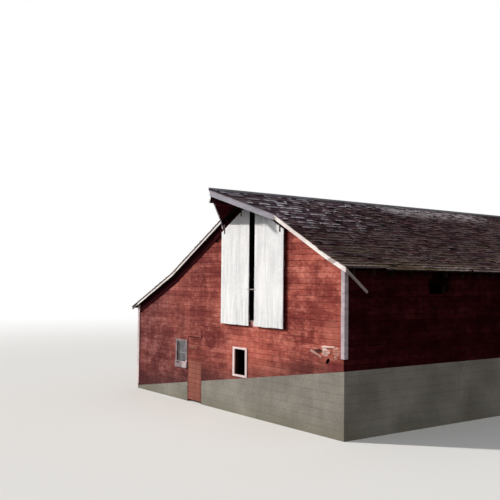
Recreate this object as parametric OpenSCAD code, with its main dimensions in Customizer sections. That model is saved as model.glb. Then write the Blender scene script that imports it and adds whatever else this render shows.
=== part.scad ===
// Hay barn on a bank: one stable storey, a loft, and a roof of four pitches with a triangular hay hood.
// The front gable faces -Y and the ridge runs along Y. The ground is z = 0, and the origin lies on it,
// under the middle of the whole outline.

/* [Plan] */
// Width across the gable walls
barn_w = 9016; // [7600:1:11000]
// Length of the barn between the faces of its two gable walls
barn_l = 12192; // [9000:1:18000]
// Thickness of the framed walls
wall_t = 120; // [90:1:180]
// Thickness of the foundation walls
foundation_t = 200; // [150:1:300]
// Height of the foundation at the low side of the bank
foundation_low = 80; // [40:1:150]
// Height of the foundation at the high side of the bank
foundation_high = 1440; // [900:1:1500]

/* [Roof] */
// Height of the ridge, over the shingles
ridge_z = 5480; // [5300:1:6200]
// Distance from the right wall's face to the ridge
ridge_inset = 3371; // [3200:1:4000]
// Pitch of the upper right slope in degrees
right_upper_pitch = 28; // [25:0.1:30]
// Pitch of the flare at the right eave in degrees
right_lower_pitch = 25; // [20:0.1:27]
// Pitch of the upper left slope in degrees
left_upper_pitch = 29.4; // [28:0.1:32]
// Pitch of the long lower left slope in degrees
left_lower_pitch = 23.6; // [20:0.1:25]
// Distance from the ridge to the bend in the right slope
right_bend = 2985; // [2500:1:3200]
// Distance from the ridge to the bend in the left slope
left_bend = 3500; // [2500:1:4000]
// How far the roof boards run past the right wall
right_eave = 235; // [180:1:300]
// How far the roof boards run past the left wall
left_eave = 223; // [70:1:300]
// How far the rake boards stand out from the gable walls
rake_overhang = 120; // [115:1:300]
// How far the shingles run past the roof boards and the rake boards
shingle_lip = 22; // [10:1:40]
// Plumb thickness of the shingle layer
shingle_depth = 34; // [20:1:50]
// Plumb thickness of the roof boards
board_depth = 26; // [20:1:40]
// Thickness of the two ridge cap boards
cap_t = 18; // [12:1:30]
// Width of a ridge cap board
cap_w = 130; // [90:1:180]
// Clearance between the roof's sloping layers, and over and under the walls
seat_gap = 0.2; // [0.1:0.1:0.6]

/* [Roof frame] */
// Width of a rafter
rafter_t = 38; // [35:1:60]
// Plumb depth of a rafter
rafter_depth = 160; // [130:1:200]
// Largest spacing of the rafters
rafter_spacing = 610; // [400:1:900]
// Depth of the notch that seats a rafter on its wall
notch_depth = 50; // [20:1:54]
// Thickness of the ridge board
ridge_t = 40; // [35:1:60]
// Depth of the ridge board
ridge_depth = 205; // [170:1:240]

/* [Hood] */
// Half of the hood's width where it leaves the rakes
hood_half = 1050; // [800:1:1200]
// How far the hood's boards run past the roof boards of the gable
hood_reach = 1054; // [700:1:1400]
// Plumb depth of the hood's left fascia board
left_fascia_depth = 100; // [80:1:170]
// Plumb depth of the hood's right fascia board
right_fascia_depth = 150; // [110:1:170]
// Width of the hay track under the ridge board
track_w = 50; // [40:1:90]
// Depth of the hay track
track_depth = 80; // [60:1:140]

/* [Trim] */
// Thickness of the rake boards and the hood's fascia boards
rake_t = 22; // [18:1:30]
// Plumb depth of the right rake boards
right_rake_depth = 110; // [90:1:150]
// Plumb depth of the left rake boards
left_rake_depth = 68; // [50:1:150]
// Thickness of the corner boards and of the board over the doorway
trim_t = 28; // [22:1:35]
// Width of a corner board on each face
corner_w = 80; // [70:1:150]
// Height at which the right corner boards end, above the foundation
corner_foot_right = 255; // [100:1:400]
// Height at which the left corner boards end, above the foundation
corner_foot_left = 60; // [20:1:200]

/* [Windows] */
// Width of a window opening
window_w = 447; // [350:1:455]
// Height of a window opening
window_h = 627; // [500:1:700]
// Height of the windows' sills
window_z = 974; // [960:1:1050]
// Thickness of the window casings
casing_t = 20; // [15:1:30]
// Width of the casing beside a window
casing_side = 78; // [60:1:82]
// Width of the casing over and under a window
casing_end = 50; // [45:1:76]
// Distance from the ridge to the middle of the front right window
right_window_x = -330; // [-420:1:-300]
// Distance from the ridge to the middle of the front left window
left_window_x = -3110; // [-3300:1:-3107]
// Width of the sash's stiles and rails
sash_w = 40; // [30:1:60]
// Thickness of a sash
sash_t = 32; // [25:1:40]
// Thickness of a pane
glass_t = 3; // [3:1:6]
// Distance from the wall's face to the sash
sash_setback = 18; // [5:1:40]
// How far a window's heavy sill stands out before the casing
sill_reach = 22; // [10:1:30]
// How far a heavy sill reaches below the casing
sill_drop = 46; // [20:1:70]
// How far a heavy sill rises over the foot of the window
sill_rise = 80; // [30:1:100]
// Number of windows along the left wall
side_windows = 3; // [1:1:5]

/* [Hay doors] */
// Half of the hay opening's width
hay_half = 1000; // [850:1:1040]
// Thickness of the hay opening's sill plank
hay_sill_t = 38; // [25:1:50]
// Distance from the ridge to the outer edge of the left leaf
left_leaf_edge = -1085; // [-1100:1:-1060]
// Width of the left leaf
left_leaf_w = 1186; // [1100:1:1200]
// Gap between the two leaves
leaf_gap = 230; // [120:1:300]
// Width of the right leaf
right_leaf_w = 1098; // [1050:1:1150]
// Thickness of a leaf with its battens
leaf_t = 40; // [36:1:46]
// Height of the battens on the back of a leaf
batten_h = 140; // [100:1:180]
// How far the leaves reach below the floor of the loft
leaf_drop = 135; // [60:1:180]
// Plumb distance from the roof's surface to the top of the left leaf
left_leaf_top_drop = 335; // [300:1:360]
// Plumb distance from the roof's surface to the top of the right leaf
right_leaf_top_drop = 225; // [200:1:260]
// Thickness of the sloping rails that carry the leaves
rail_t = 44; // [38:1:48]
// Plumb depth of the rails
rail_depth = 130; // [110:1:140]
// How far the leaves' tops lap over the rails, plumb
rail_lap = 35; // [20:1:50]
// Length of a hanger strap on a leaf's face
hanger_l = 230; // [150:1:500]
// Distance from the ridge to the lower end of a rail
rail_run = 1450; // [1300:1:1480]
// Thickness of the iron hanger straps
strap_t = 6; // [4:1:8]
// Width of the hanger straps
strap_w = 45; // [30:1:60]
// Height of the latch bar above the floor of the loft
latch_z = 745; // [600:1:900]

/* [Walk door] */
// Distance from the ridge to the left side of the doorway
door_x = -2765; // [-2780:1:-2740]
// Width of the doorway between its linings
door_w = 660; // [600:1:700]
// Height of the doorway above the ground
door_h = 1750; // [1650:1:1800]
// Height of the door's foot above the ground
door_foot = 60; // [40:1:100]
// Gap between the door and the doorway's linings
door_gap = 10; // [8:1:14]
// Thickness of the door's boards
door_t = 25; // [20:1:35]
// Thickness of the doorway's linings
lining_t = 20; // [15:1:30]
// Depth of the board over the doorway
door_head_h = 45; // [30:1:70]
// Radius of the hinge pins
pin_r = 6; // [5:0.5:8]
// Clearance between a hinge pin and its strap's eye, and between the eye and the wall
pin_clearance = 0.4; // [0.3:0.1:0.8]
// Wall of the eye round a hinge pin
eye_wall = 4; // [3:0.5:6]
// Length of the hinge straps
hinge_strap_l = 430; // [300:1:500]

/* [Loft] */
// Distance from the top of the left wall down to the loft floor
loft_drop = 63; // [5:1:120]
// Thickness of the floor boards
floor_t = 25; // [20:1:40]
// Depth of a joist
joist_depth = 200; // [150:1:240]
// Thickness of a joist
joist_t = 50; // [38:1:70]
// Largest spacing of the joists
joist_spacing = 610; // [400:1:800]
// Size of the posts, and width of the girders
post_w = 150; // [120:1:200]
// Depth of a girder
girder_depth = 200; // [150:1:250]
// Distance of each girder from the middle of the barn
girder_x = 1500; // [1200:1:1800]
// Number of posts under each girder
posts_n = 5; // [3:1:7]
// Depth of the ledgers that carry the joists' ends
ledger_depth = 100; // [80:1:140]

/* [Damage] */
// Distance from the front gable's face to the hole in the right wall
gap_y = 2677; // [2000:1:3500]
// Length of the hole in the right wall
gap_l = 586; // [400:1:700]
// Height of the hole in the right wall
gap_h = 220; // [130:1:260]
// Distance from the top of the right wall down to that hole
gap_drop = 279; // [200:1:450]
// Side of the small hole near the gable's right corner
knot_w = 120; // [60:1:140]
// Distance from the gable's right corner to that hole
knot_inset = 450; // [400:1:700]
// Height of that hole's lower edge above the ground
knot_z = 1550; // [1545:1:1650]
// Length of the broken corner of the right eave, along the eave
broken_l = 1050; // [800:1:2000]
// How far the rafter tails and the broken corner reach past the right wall
tail_reach = 150; // [90:1:170]
// Length of the loose board that hangs from the eave corner
loose_l = 780; // [500:1:850]
// Width of the loose board
loose_w = 62; // [40:1:120]
// Angle of the loose board below the eave in degrees
loose_angle = 37; // [20:1:50]

/* [Hidden] */
$fn = 32;

right_x = (barn_w - right_eave + left_eave) / 2;
left_x = right_x - barn_w;
ridge_x = right_x - ridge_inset;
bend_right_x = ridge_x + right_bend;
bend_left_x = ridge_x - left_bend;

// The strip of the hood's fascia is measured square to its slanting edge.
hood_edge = sqrt(hood_half * hood_half + hood_reach * hood_reach);
function hood_out_y(t) = t * hood_edge / hood_half;
function hood_out_x(t) = t * hood_edge / hood_reach;
tip_out = rake_overhang - rake_t + hood_reach + hood_out_y(rake_t + shingle_lip);
rear_out = rake_overhang + shingle_lip;
front_y = -(barn_l + rear_out - tip_out) / 2;
rear_y = front_y + barn_l;
board_front_y = front_y - rake_overhang + rake_t;
board_rear_y = rear_y + rake_overhang - rake_t;
hood_tip_y = board_front_y - hood_reach;

under_shingles = shingle_depth + seat_gap;
under_boards = under_shingles + board_depth + seat_gap;
under_rafters = under_boards + rafter_depth;
eave_right_x = right_x + right_eave;
eave_left_x = left_x - left_eave;
tail_x = right_x + tail_reach;
plate_right_z = roof_z(right_x) - under_rafters + notch_depth;
plate_left_z = roof_z(left_x) - under_rafters + notch_depth;
ridge_foot_z = ridge_z - under_boards - ridge_depth;
loft_z = plate_left_z - loft_drop;
gap_z = plate_right_z - gap_drop - gap_h;

hay_left_x = ridge_x - hay_half;
hay_right_x = ridge_x + hay_half;
doorway_left_x = ridge_x + door_x;
doorway_right_x = doorway_left_x + door_w;
leaf_back_y = front_y - rail_t;
leaf_front_y = leaf_back_y - leaf_t;
leaf_foot_z = loft_z - leaf_drop;
left_leaf_x = ridge_x + left_leaf_edge;
right_leaf_x = left_leaf_x + left_leaf_w + leaf_gap;
track_foot_z = ridge_foot_z - track_depth;
track_clearance = 8;
hanger_inset = 110;
inner_hanger_share = 0.7;
hanger_xs = [left_leaf_x + hanger_inset, left_leaf_x + inner_hanger_share * left_leaf_w,
    right_leaf_x + hanger_inset, right_leaf_x + right_leaf_w - hanger_inset - strap_w];

inner_front_y = front_y + wall_t;
inner_rear_y = rear_y - wall_t;
hinge_x = doorway_left_x;
hinge_zs = [door_foot + 260, door_h - 300];
eye_r = pin_r + pin_clearance + eye_wall;
hinge_y = front_y - eye_r - pin_clearance;
eye_h = 50;
lug_h = 12;
hinge_plate_w = 24;
plate_gap = 5;
sill_fall = 12;
far = 4 * barn_l;

// Height of the roof's surface over a place across the barn
function roof_z(x) =
    x >= bend_right_x ? roof_z_upper_right(bend_right_x) - (x - bend_right_x) * tan(right_lower_pitch) :
    x >= ridge_x ? roof_z_upper_right(x) :
    x >= bend_left_x ? roof_z_upper_left(x) :
    roof_z_upper_left(bend_left_x) - (bend_left_x - x) * tan(left_lower_pitch);
function roof_z_upper_right(x) = ridge_z - (x - ridge_x) * tan(right_upper_pitch);
function roof_z_upper_left(x) = ridge_z - (ridge_x - x) * tan(left_upper_pitch);

// The places between x0 and x1 where the roof's line turns, with both ends
function stations(x0, x1) = concat([x0],
    [for (x = [bend_left_x, ridge_x, bend_right_x]) if (x > x0 && x < x1) x], [x1]);
function roof_line(x0, x1, drop) = [for (x = stations(x0, x1)) [x, roof_z(x) - drop]];
function reversed(list) = [for (i = [len(list) - 1 : -1 : 0]) list[i]];

// Plumb distance from the roof's surface to the hay doors' rail at a place across the barn
function rail_drop(x) = (x < ridge_x ? left_leaf_top_drop : right_leaf_top_drop) - rail_depth + rail_lap;

// Top of the foundation, which follows the bank across the gable
function bank_z(x) = foundation_low + (x - left_x) / barn_w * (foundation_high - foundation_low);

// Foot of a gable wall, just clear of the foundation's sloping top
function wall_foot_z(x) = bank_z(x) + seat_gap;

// A shape drawn across the barn, as thick as from y0 to y1
module across(y0, y1)
    translate([0, y1, 0]) rotate([90, 0, 0]) linear_extrude(height = y1 - y0) children();

// A shape drawn in plan, as tall as the barn and more
module in_plan() linear_extrude(height = 2 * ridge_z) children();

module block(x0, x1, y0, y1, z0, z1) translate([x0, y0, z0]) cube([x1 - x0, y1 - y0, z1 - z0]);

// A layer of the roof between two plumb depths under its surface
module roof_layer(x0, x1, drop, depth, y0, y1)
    across(y0, y1) polygon(concat(roof_line(x0, x1, drop), reversed(roof_line(x0, x1, drop + depth))));

// A wall panel across the barn, from a sloping or level foot to a depth under the roof
module gable_panel(x0, x1, foot0, foot1, y0, y1)
    across(y0, y1) polygon(concat([[x1, foot1], [x0, foot0]], roof_line(x0, x1, under_boards)));

module front_panel(x0, x1) gable_panel(x0, x1, wall_foot_z(x0), wall_foot_z(x1), front_y, inner_front_y);

// A hole for a window in a gable wall, from y0 to y1
module gable_window_hole(x, y0, y1)
    block(x - window_w / 2, x + window_w / 2, y0, y1, window_z, window_z + window_h);

// The left wall has a level seat in the foundations of both gables.
module gable_foundation(x0, x1, y0, y1) difference() {
    across(y0, y1) polygon([[x0, 0], [x1, 0], [x1, bank_z(x1)], [x0, bank_z(x0)]]);
    block(left_x - 1, left_x + wall_t, inner_front_y, inner_rear_y, foundation_low, foundation_high);
}

module foundation_front_left() color("#8d877c")
    gable_foundation(left_x, doorway_left_x - lining_t, front_y, front_y + foundation_t);

module foundation_front_right() color("#8d877c")
    gable_foundation(doorway_right_x + lining_t, right_x, front_y, front_y + foundation_t);

module foundation_rear() color("#8d877c")
    gable_foundation(left_x, right_x, rear_y - foundation_t, rear_y);

module foundation_right() color("#8d877c")
    block(right_x - foundation_t, right_x, front_y + foundation_t, rear_y - foundation_t, 0, foundation_high);

module foundation_left() color("#8d877c")
    block(left_x, left_x + foundation_t, front_y + foundation_t, rear_y - foundation_t, 0, foundation_low);

module front_wall_left() color("#9c3b33") difference() {
    front_panel(left_x, doorway_left_x - lining_t);
    gable_window_hole(ridge_x + left_window_x, front_y - 1, inner_front_y + 1);
}

module front_wall_over_door() color("#9c3b33")
    gable_panel(doorway_left_x - lining_t, doorway_right_x + lining_t,
        door_h + lining_t, door_h + lining_t, front_y, inner_front_y);

module front_wall_middle() color("#9c3b33") front_panel(doorway_right_x + lining_t, hay_left_x);

module front_wall_under_hay() color("#9c3b33") difference() {
    across(front_y, inner_front_y) polygon([
        [hay_left_x, wall_foot_z(hay_left_x)], [hay_right_x, wall_foot_z(hay_right_x)],
        [hay_right_x, loft_z - hay_sill_t], [hay_left_x, loft_z - hay_sill_t]]);
    gable_window_hole(ridge_x + right_window_x, front_y - 1, inner_front_y + 1);
}

module front_wall_right() color("#9c3b33") difference() {
    front_panel(hay_right_x, right_x);
    block(right_x - knot_inset - knot_w, right_x - knot_inset, front_y - 1, inner_front_y + 1,
        knot_z, knot_z + knot_w);
}

// The rear gable repeats the front's windows, seen from outside in the same order.
rear_window_xs = [ridge_x + left_window_x, ridge_x + right_window_x];

module rear_wall() color("#9c3b33") difference() {
    gable_panel(left_x, right_x, wall_foot_z(left_x), wall_foot_z(right_x), inner_rear_y, rear_y);
    for (x = rear_window_xs) gable_window_hole(x, inner_rear_y - 1, rear_y + 1);
}

side_window_ys = [for (i = [1 : side_windows]) front_y + i * barn_l / (side_windows + 1)];

module left_wall() color("#9c3b33") difference() {
    block(left_x, left_x + wall_t, inner_front_y, inner_rear_y, foundation_low, plate_left_z);
    for (y = side_window_ys)
        block(left_x - 1, left_x + wall_t + 1, y - window_w / 2, y + window_w / 2,
            window_z, window_z + window_h);
}

module right_wall() color("#8a3029") difference() {
    block(right_x - wall_t, right_x, inner_front_y, inner_rear_y, foundation_high, plate_right_z);
    block(right_x - wall_t - 1, right_x + 1, front_y + gap_y, front_y + gap_y + gap_l, gap_z, gap_z + gap_h);
}

// The even places of pieces of one thickness between the gable walls, no wider apart than a spacing
function even_ys(t, spacing) = let (run = inner_rear_y - inner_front_y - t, n = ceil(run / spacing))
    [for (i = [0 : n]) inner_front_y + i * run / n];

module loft_floor() color("#7d6a55")
    block(left_x + wall_t, right_x - wall_t, inner_front_y, inner_rear_y, loft_z - floor_t, loft_z);

joist_top_z = loft_z - floor_t;
girder_top_z = joist_top_z - joist_depth;

module loft_joists() color("#6d5a47") for (y = even_ys(joist_t, joist_spacing))
    block(left_x + wall_t, right_x - wall_t, y, y + joist_t, girder_top_z, joist_top_z);

girder_xs = [(left_x + right_x) / 2 - girder_x, (left_x + right_x) / 2 + girder_x];

module loft_girders() color("#6d5a47") for (x = girder_xs)
    block(x - post_w / 2, x + post_w / 2, inner_front_y, inner_rear_y,
        girder_top_z - girder_depth, girder_top_z);

// Posts keep clear of the foundation at both ends.
first_post_y = front_y + foundation_t + 50;
post_step = (barn_l - 2 * (foundation_t + 50) - post_w) / (posts_n - 1);

module loft_posts() color("#6d5a47") for (x = girder_xs, i = [0 : posts_n - 1])
    translate([x - post_w / 2, first_post_y + i * post_step, 0])
        cube([post_w, post_w, girder_top_z - girder_depth]);

module loft_ledgers() color("#6d5a47") {
    block(left_x + wall_t, left_x + wall_t + joist_t, inner_front_y, inner_rear_y,
        girder_top_z - ledger_depth, girder_top_z);
    block(right_x - wall_t - joist_t, right_x - wall_t, inner_front_y, inner_rear_y,
        girder_top_z - ledger_depth, girder_top_z);
}

// One rafter across half of the roof, notched where it crosses the wall's plate
module rafter(x0, x1, wall_x, plate_z) difference() {
    polygon(concat(roof_line(x0, x1, under_boards), reversed(roof_line(x0, x1, under_rafters))));
    translate([wall_x, 0]) square([wall_t, plate_z]);
}

module rafters_left() color("#6d5a47") for (y = even_ys(rafter_t, rafter_spacing)) across(y, y + rafter_t)
    rafter(eave_left_x, ridge_x - ridge_t / 2, left_x, plate_left_z);

module rafters_right() color("#6d5a47") for (y = even_ys(rafter_t, rafter_spacing)) across(y, y + rafter_t)
    rafter(ridge_x + ridge_t / 2, tail_x, right_x - wall_t, plate_right_z);

// The ridge board runs on past the gable and carries the hood.
module ridge_board() color("#6d5a47") intersection() {
    across(hood_tip_y, inner_rear_y) polygon(concat(
        [[ridge_x + ridge_t / 2, ridge_foot_z], [ridge_x - ridge_t / 2, ridge_foot_z]],
        roof_line(ridge_x - ridge_t / 2, ridge_x + ridge_t / 2, under_boards)));
    union() {
        block(ridge_x - ridge_t / 2, ridge_x + ridge_t / 2, board_front_y, inner_rear_y, 0, 2 * ridge_z);
        in_plan() polygon(hood_plan(0));
    }
}

module roof_boards_left() color("#5f5148")
    roof_layer(eave_left_x, ridge_x, under_shingles, board_depth, board_front_y, board_rear_y);

// The front corner of the right eave has broken away, past a place across the barn.
module broken_corner(x) block(x, far, -far, front_y + broken_l, 0, ridge_z);

module roof_boards_right() color("#5f5148") difference() {
    roof_layer(ridge_x, eave_right_x, under_shingles, board_depth, board_front_y, board_rear_y);
    broken_corner(tail_x);
}

// Plan of the hood in front of the gable's roof boards, widened by t square to its edges
function hood_plan(t) = [
    [ridge_x - hood_half - hood_out_x(t), board_front_y],
    [ridge_x, hood_tip_y - hood_out_y(t)],
    [ridge_x + hood_half + hood_out_x(t), board_front_y]];

module hood_boards() color("#5a231f") intersection() {
    roof_layer(ridge_x - hood_half, ridge_x + hood_half, under_shingles, board_depth,
        hood_tip_y, board_front_y);
    in_plan() polygon(hood_plan(0));
}

// The fascia board on one side of the hood: side is -1 for left and 1 for right
module hood_fascia(side, depth) intersection() {
    roof_layer(ridge_x - 2 * hood_half, ridge_x + 2 * hood_half, under_shingles, depth,
        hood_tip_y - hood_reach, board_front_y);
    in_plan() polygon([
        [ridge_x + side * hood_half, board_front_y],
        [ridge_x, hood_tip_y],
        [ridge_x, hood_tip_y - hood_out_y(rake_t)],
        [ridge_x + side * (hood_half + hood_out_x(rake_t)), board_front_y]]);
}

module hood_fascia_left() color("#b9b2c4") hood_fascia(-1, left_fascia_depth);
module hood_fascia_right() color("#b9b2c4") hood_fascia(1, right_fascia_depth);

// The shingles' plan: a strip of the roof, with the hood's half where the strip meets the ridge
module shingle_plan(x0, x1) {
    lip = rake_t + shingle_lip;
    polygon([[x0, front_y - rear_out], [x1, front_y - rear_out],
        [x1, rear_y + rear_out], [x0, rear_y + rear_out]]);
    intersection() {
        polygon(hood_plan(lip));
        translate([x0, hood_tip_y - far]) square([x1 - x0, 2 * far]);
    }
}

module shingle_layer(x0, x1) intersection() {
    roof_layer(x0, x1, 0, shingle_depth, front_y - tip_out, rear_y + rear_out);
    in_plan() shingle_plan(x0, x1);
}

module shingles_left_upper() color("#4d4543") shingle_layer(bend_left_x, ridge_x);
module shingles_left_lower() color("#4d4543") shingle_layer(eave_left_x - shingle_lip, bend_left_x);
module shingles_right_upper() color("#4d4543") shingle_layer(ridge_x, bend_right_x);

module shingles_right_lower() color("#4d4543") difference() {
    shingle_layer(bend_right_x, eave_right_x + shingle_lip);
    broken_corner(tail_x + shingle_lip);
}

// Two boards lie on the shingles along the ridge, from the hood's tip to the rear.
module ridge_cap() color("#5b5350") difference() {
    union() for (side = [[ridge_x - cap_w * cos(left_upper_pitch), ridge_x],
            [ridge_x, ridge_x + cap_w * cos(right_upper_pitch)]])
        roof_layer(side[0], side[1], -cap_t - seat_gap, cap_t, front_y - tip_out, rear_y + rear_out);
    in_plan() difference() {
        translate([-far, front_y - tip_out - 1]) square([2 * far, tip_out - rear_out + 1]);
        polygon(hood_plan(rake_t + shingle_lip));
    }
}

module hay_track() color("#4a4038") block(ridge_x - track_w / 2, ridge_x + track_w / 2,
    hood_tip_y - hood_out_y(rake_t), inner_front_y + 2 * rafter_spacing, track_foot_z, ridge_foot_z);

// A rake board follows one half of the roof. At the front it ends where the hood's fascia begins.
module rake_board(x0, x1, depth, y0, y1) roof_layer(x0, x1, under_shingles, depth, y0, y1);

module rake_boards_front() color("#e6e3dc") {
    hood_end = hood_half + hood_out_x(rake_t);
    rake_board(eave_left_x, ridge_x - hood_end, left_rake_depth, front_y - rake_overhang, board_front_y);
    rake_board(ridge_x + hood_end, tail_x, right_rake_depth, front_y - rake_overhang, board_front_y);
}

module rake_boards_rear() color("#e6e3dc") {
    rake_board(eave_left_x, ridge_x, left_rake_depth, board_rear_y, rear_y + rake_overhang);
    rake_board(ridge_x, eave_right_x, right_rake_depth, board_rear_y, rear_y + rake_overhang);
}

// Two boards that wrap a corner: x and y are the corner, and side_x and side_y point outwards from it
module corner_board(x, y, side_x, side_y, foot_z) intersection() {
    across(y - 2 * corner_w, y + 2 * corner_w) polygon(concat(
        [[x + 2 * corner_w, foot_z], [x - 2 * corner_w, foot_z]],
        roof_line(x - 2 * corner_w, x + 2 * corner_w, under_boards)));
    translate([x, y, 0]) in_plan() scale([side_x, side_y]) polygon([
        [trim_t, trim_t], [trim_t, -corner_w], [0, -corner_w], [0, 0], [-corner_w, 0], [-corner_w, trim_t]]);
}

module corner_boards_left() color("#dcd9d2") {
    corner_board(left_x, front_y, -1, -1, foundation_low + corner_foot_left);
    corner_board(left_x, rear_y, -1, 1, foundation_low + corner_foot_left);
}

module corner_boards_right() color("#dcd9d2") {
    corner_board(right_x, front_y, 1, -1, foundation_high + corner_foot_right);
    corner_board(right_x, rear_y, 1, 1, foundation_high + corner_foot_right);
}

// A casing lies in the XZ plane round a window, with its back at y = 0 and its face at y = -casing_t.
module casing() across(-casing_t, 0) difference() {
    translate([-window_w / 2 - casing_side, -casing_end])
        square([window_w + 2 * casing_side, window_h + 2 * casing_end]);
    translate([-window_w / 2, 0]) square([window_w, window_h]);
}

// A heavy sill with a sloping top stands before the casing, seated on the wall below it.
module sill() {
    half_w = window_w / 2 + casing_side;
    foot_z = -casing_end - sill_drop;
    face_y = -casing_t - sill_reach;
    translate([-half_w, 0, 0]) rotate([90, 0, 90]) linear_extrude(height = 2 * half_w) polygon([
        [0, foot_z], [face_y, foot_z], [face_y, sill_rise - sill_fall], [-casing_t, sill_rise],
        [-casing_t, -casing_end], [0, -casing_end]]);
}

// A sash fills the opening behind the casing, with one bar across it.
module sash() across(sash_setback, sash_setback + sash_t) difference() {
    translate([-window_w / 2, 0]) square([window_w, window_h]);
    for (z = [sash_w, window_h / 2 + sash_w / 4])
        translate([-window_w / 2 + sash_w, z]) square([window_w - 2 * sash_w, window_h / 2 - sash_w * 5 / 4]);
}

module glass() {
    glass_y = sash_setback + (sash_t - glass_t) / 2;
    for (z = [sash_w, window_h / 2 + sash_w / 4])
        translate([-window_w / 2 + sash_w, glass_y, z])
            cube([window_w - 2 * sash_w, glass_t, window_h / 2 - sash_w * 5 / 4]);
}

module at_front_window(x) translate([ridge_x + x, front_y, window_z]) children();
module at_hidden_windows() {
    for (x = rear_window_xs) translate([x, rear_y, window_z]) rotate([0, 0, 180]) children();
    for (y = side_window_ys) translate([left_x, y, window_z]) rotate([0, 0, -90]) children();
}

module window_casings() color("#e6e3dc") {
    at_front_window(right_window_x) casing();
    at_front_window(left_window_x) {
        casing();
        sill();
    }
    at_hidden_windows() {
        casing();
        sill();
    }
}

// The front right window has lost its sash and its sill.
module window_sashes() color("#c9c6bf") {
    at_front_window(left_window_x) sash();
    at_hidden_windows() sash();
}

module window_glass() color("#9fb0b5") {
    at_front_window(left_window_x) glass();
    at_hidden_windows() glass();
}

// A leaf of upright boards, cut to the roof's slope and under the hay track, with two battens behind
module leaf(x0, x1, top_drop) {
    board_t = leaf_t / 2;
    across(leaf_front_y, leaf_front_y + board_t) intersection() {
        polygon(concat([[x1, leaf_foot_z], [x0, leaf_foot_z]], roof_line(x0, x1, top_drop)));
        translate([x0, leaf_foot_z]) square([x1 - x0, track_foot_z - track_clearance - leaf_foot_z]);
    }
    for (z = [leaf_foot_z + batten_h, (leaf_foot_z + roof_z(x0) - top_drop) / 2])
        block(x0, x1, leaf_front_y + board_t, leaf_back_y, z, z + batten_h);
}

module hay_door_left() color("#e3e2de")
    leaf(left_leaf_x, left_leaf_x + left_leaf_w, left_leaf_top_drop);

module hay_door_right() color("#e3e2de")
    leaf(right_leaf_x, right_leaf_x + right_leaf_w, right_leaf_top_drop);

// The rails run down both rakes from the hay track, flat on the gable wall and behind the leaves' tops.
module hay_door_rails() color("#4f2522") for (side = [[ridge_x - rail_run, ridge_x - track_w / 2],
        [ridge_x + track_w / 2, ridge_x + rail_run]])
    roof_layer(side[0], side[1], rail_drop(side[0]), rail_depth, front_y - rail_t - leaf_t / 2, front_y);

// An iron strap lies on a leaf's face and hooks over the rail.
module hanger(x) {
    top_z = max(roof_z(x), roof_z(x + strap_w)) - rail_drop(x);
    block(x, x + strap_w, leaf_front_y - strap_t, leaf_front_y, top_z - hanger_l, top_z);
    block(x, x + strap_w, leaf_front_y - strap_t, leaf_back_y, top_z, top_z + strap_t);
}

module hay_door_hangers() color("#3c3531") for (x = hanger_xs) hanger(x);

module latch_bar() color("#b7b0a4") block(left_leaf_x + left_leaf_w - strap_w, right_leaf_x + strap_w,
    leaf_front_y - strap_t, leaf_front_y, loft_z + latch_z, loft_z + latch_z + strap_w / 2);

module hay_sill() color("#7a2f29")
    block(hay_left_x, hay_right_x, front_y, inner_front_y, loft_z - hay_sill_t, loft_z);

// Linings on both sides and over the doorway, and a board over its head
module walk_door_frame() color("#9c3b33") {
    block(doorway_left_x - lining_t, doorway_left_x, front_y, inner_front_y, 0, door_h);
    block(doorway_right_x, doorway_right_x + lining_t, front_y, inner_front_y, 0, door_h);
    block(doorway_left_x - lining_t, doorway_right_x + lining_t, front_y, inner_front_y,
        door_h, door_h + lining_t);
    block(doorway_left_x - lining_t, doorway_right_x + lining_t, front_y - trim_t, front_y,
        door_h + lining_t, door_h + lining_t + door_head_h);
}

// Each hinge has a plate on the wall, with a lug that carries the pin.
module walk_door_pintles() color("#3c3531") for (z = hinge_zs) {
    plate_x = hinge_x - eye_r - plate_gap;
    translate([hinge_x, hinge_y, z - lug_h]) cylinder(r = eye_r, h = lug_h);
    translate([hinge_x, hinge_y, z - 1]) cylinder(r = pin_r, h = eye_h + 1);
    block(plate_x - hinge_plate_w, plate_x, front_y - eye_wall, front_y, z - lug_h, z + eye_h);
    block(plate_x, hinge_x, front_y - eye_wall, front_y, z - lug_h, z);
}

module walk_door() color("#93362f") {
    door_left = doorway_left_x + door_gap;
    door_right = doorway_right_x - door_gap;
    block(door_left, door_right, front_y, front_y + door_t, door_foot, door_h - door_gap);
    for (z = [door_foot + batten_h, door_h - door_gap - 2 * batten_h])
        block(door_left, door_right, front_y + door_t, front_y + 2 * door_t, z, z + batten_h);
}

// The straps lie on the door's face, and their eyes turn on the pins just clear of the lugs.
module walk_door_straps() color("#3c3531") for (z = hinge_zs) translate([hinge_x, 0, z + pin_clearance])
    difference() {
        union() {
            translate([0, hinge_y, 0]) cylinder(r = eye_r, h = eye_h);
            block(0, hinge_strap_l, front_y - eye_wall, front_y, 0, eye_h);
        }
        translate([0, hinge_y, -1]) cylinder(r = pin_r + pin_clearance, h = eye_h + 2);
    }

// The loose board hangs from the end of the right rake board.
module loose_eave_board() color("#b3aaa0")
    translate([tail_x, board_front_y, roof_z(tail_x) - under_boards])
        rotate([-loose_angle, 0, 0]) translate([0, 0, -loose_w]) cube([shingle_lip, loose_l, loose_w]);

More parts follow.
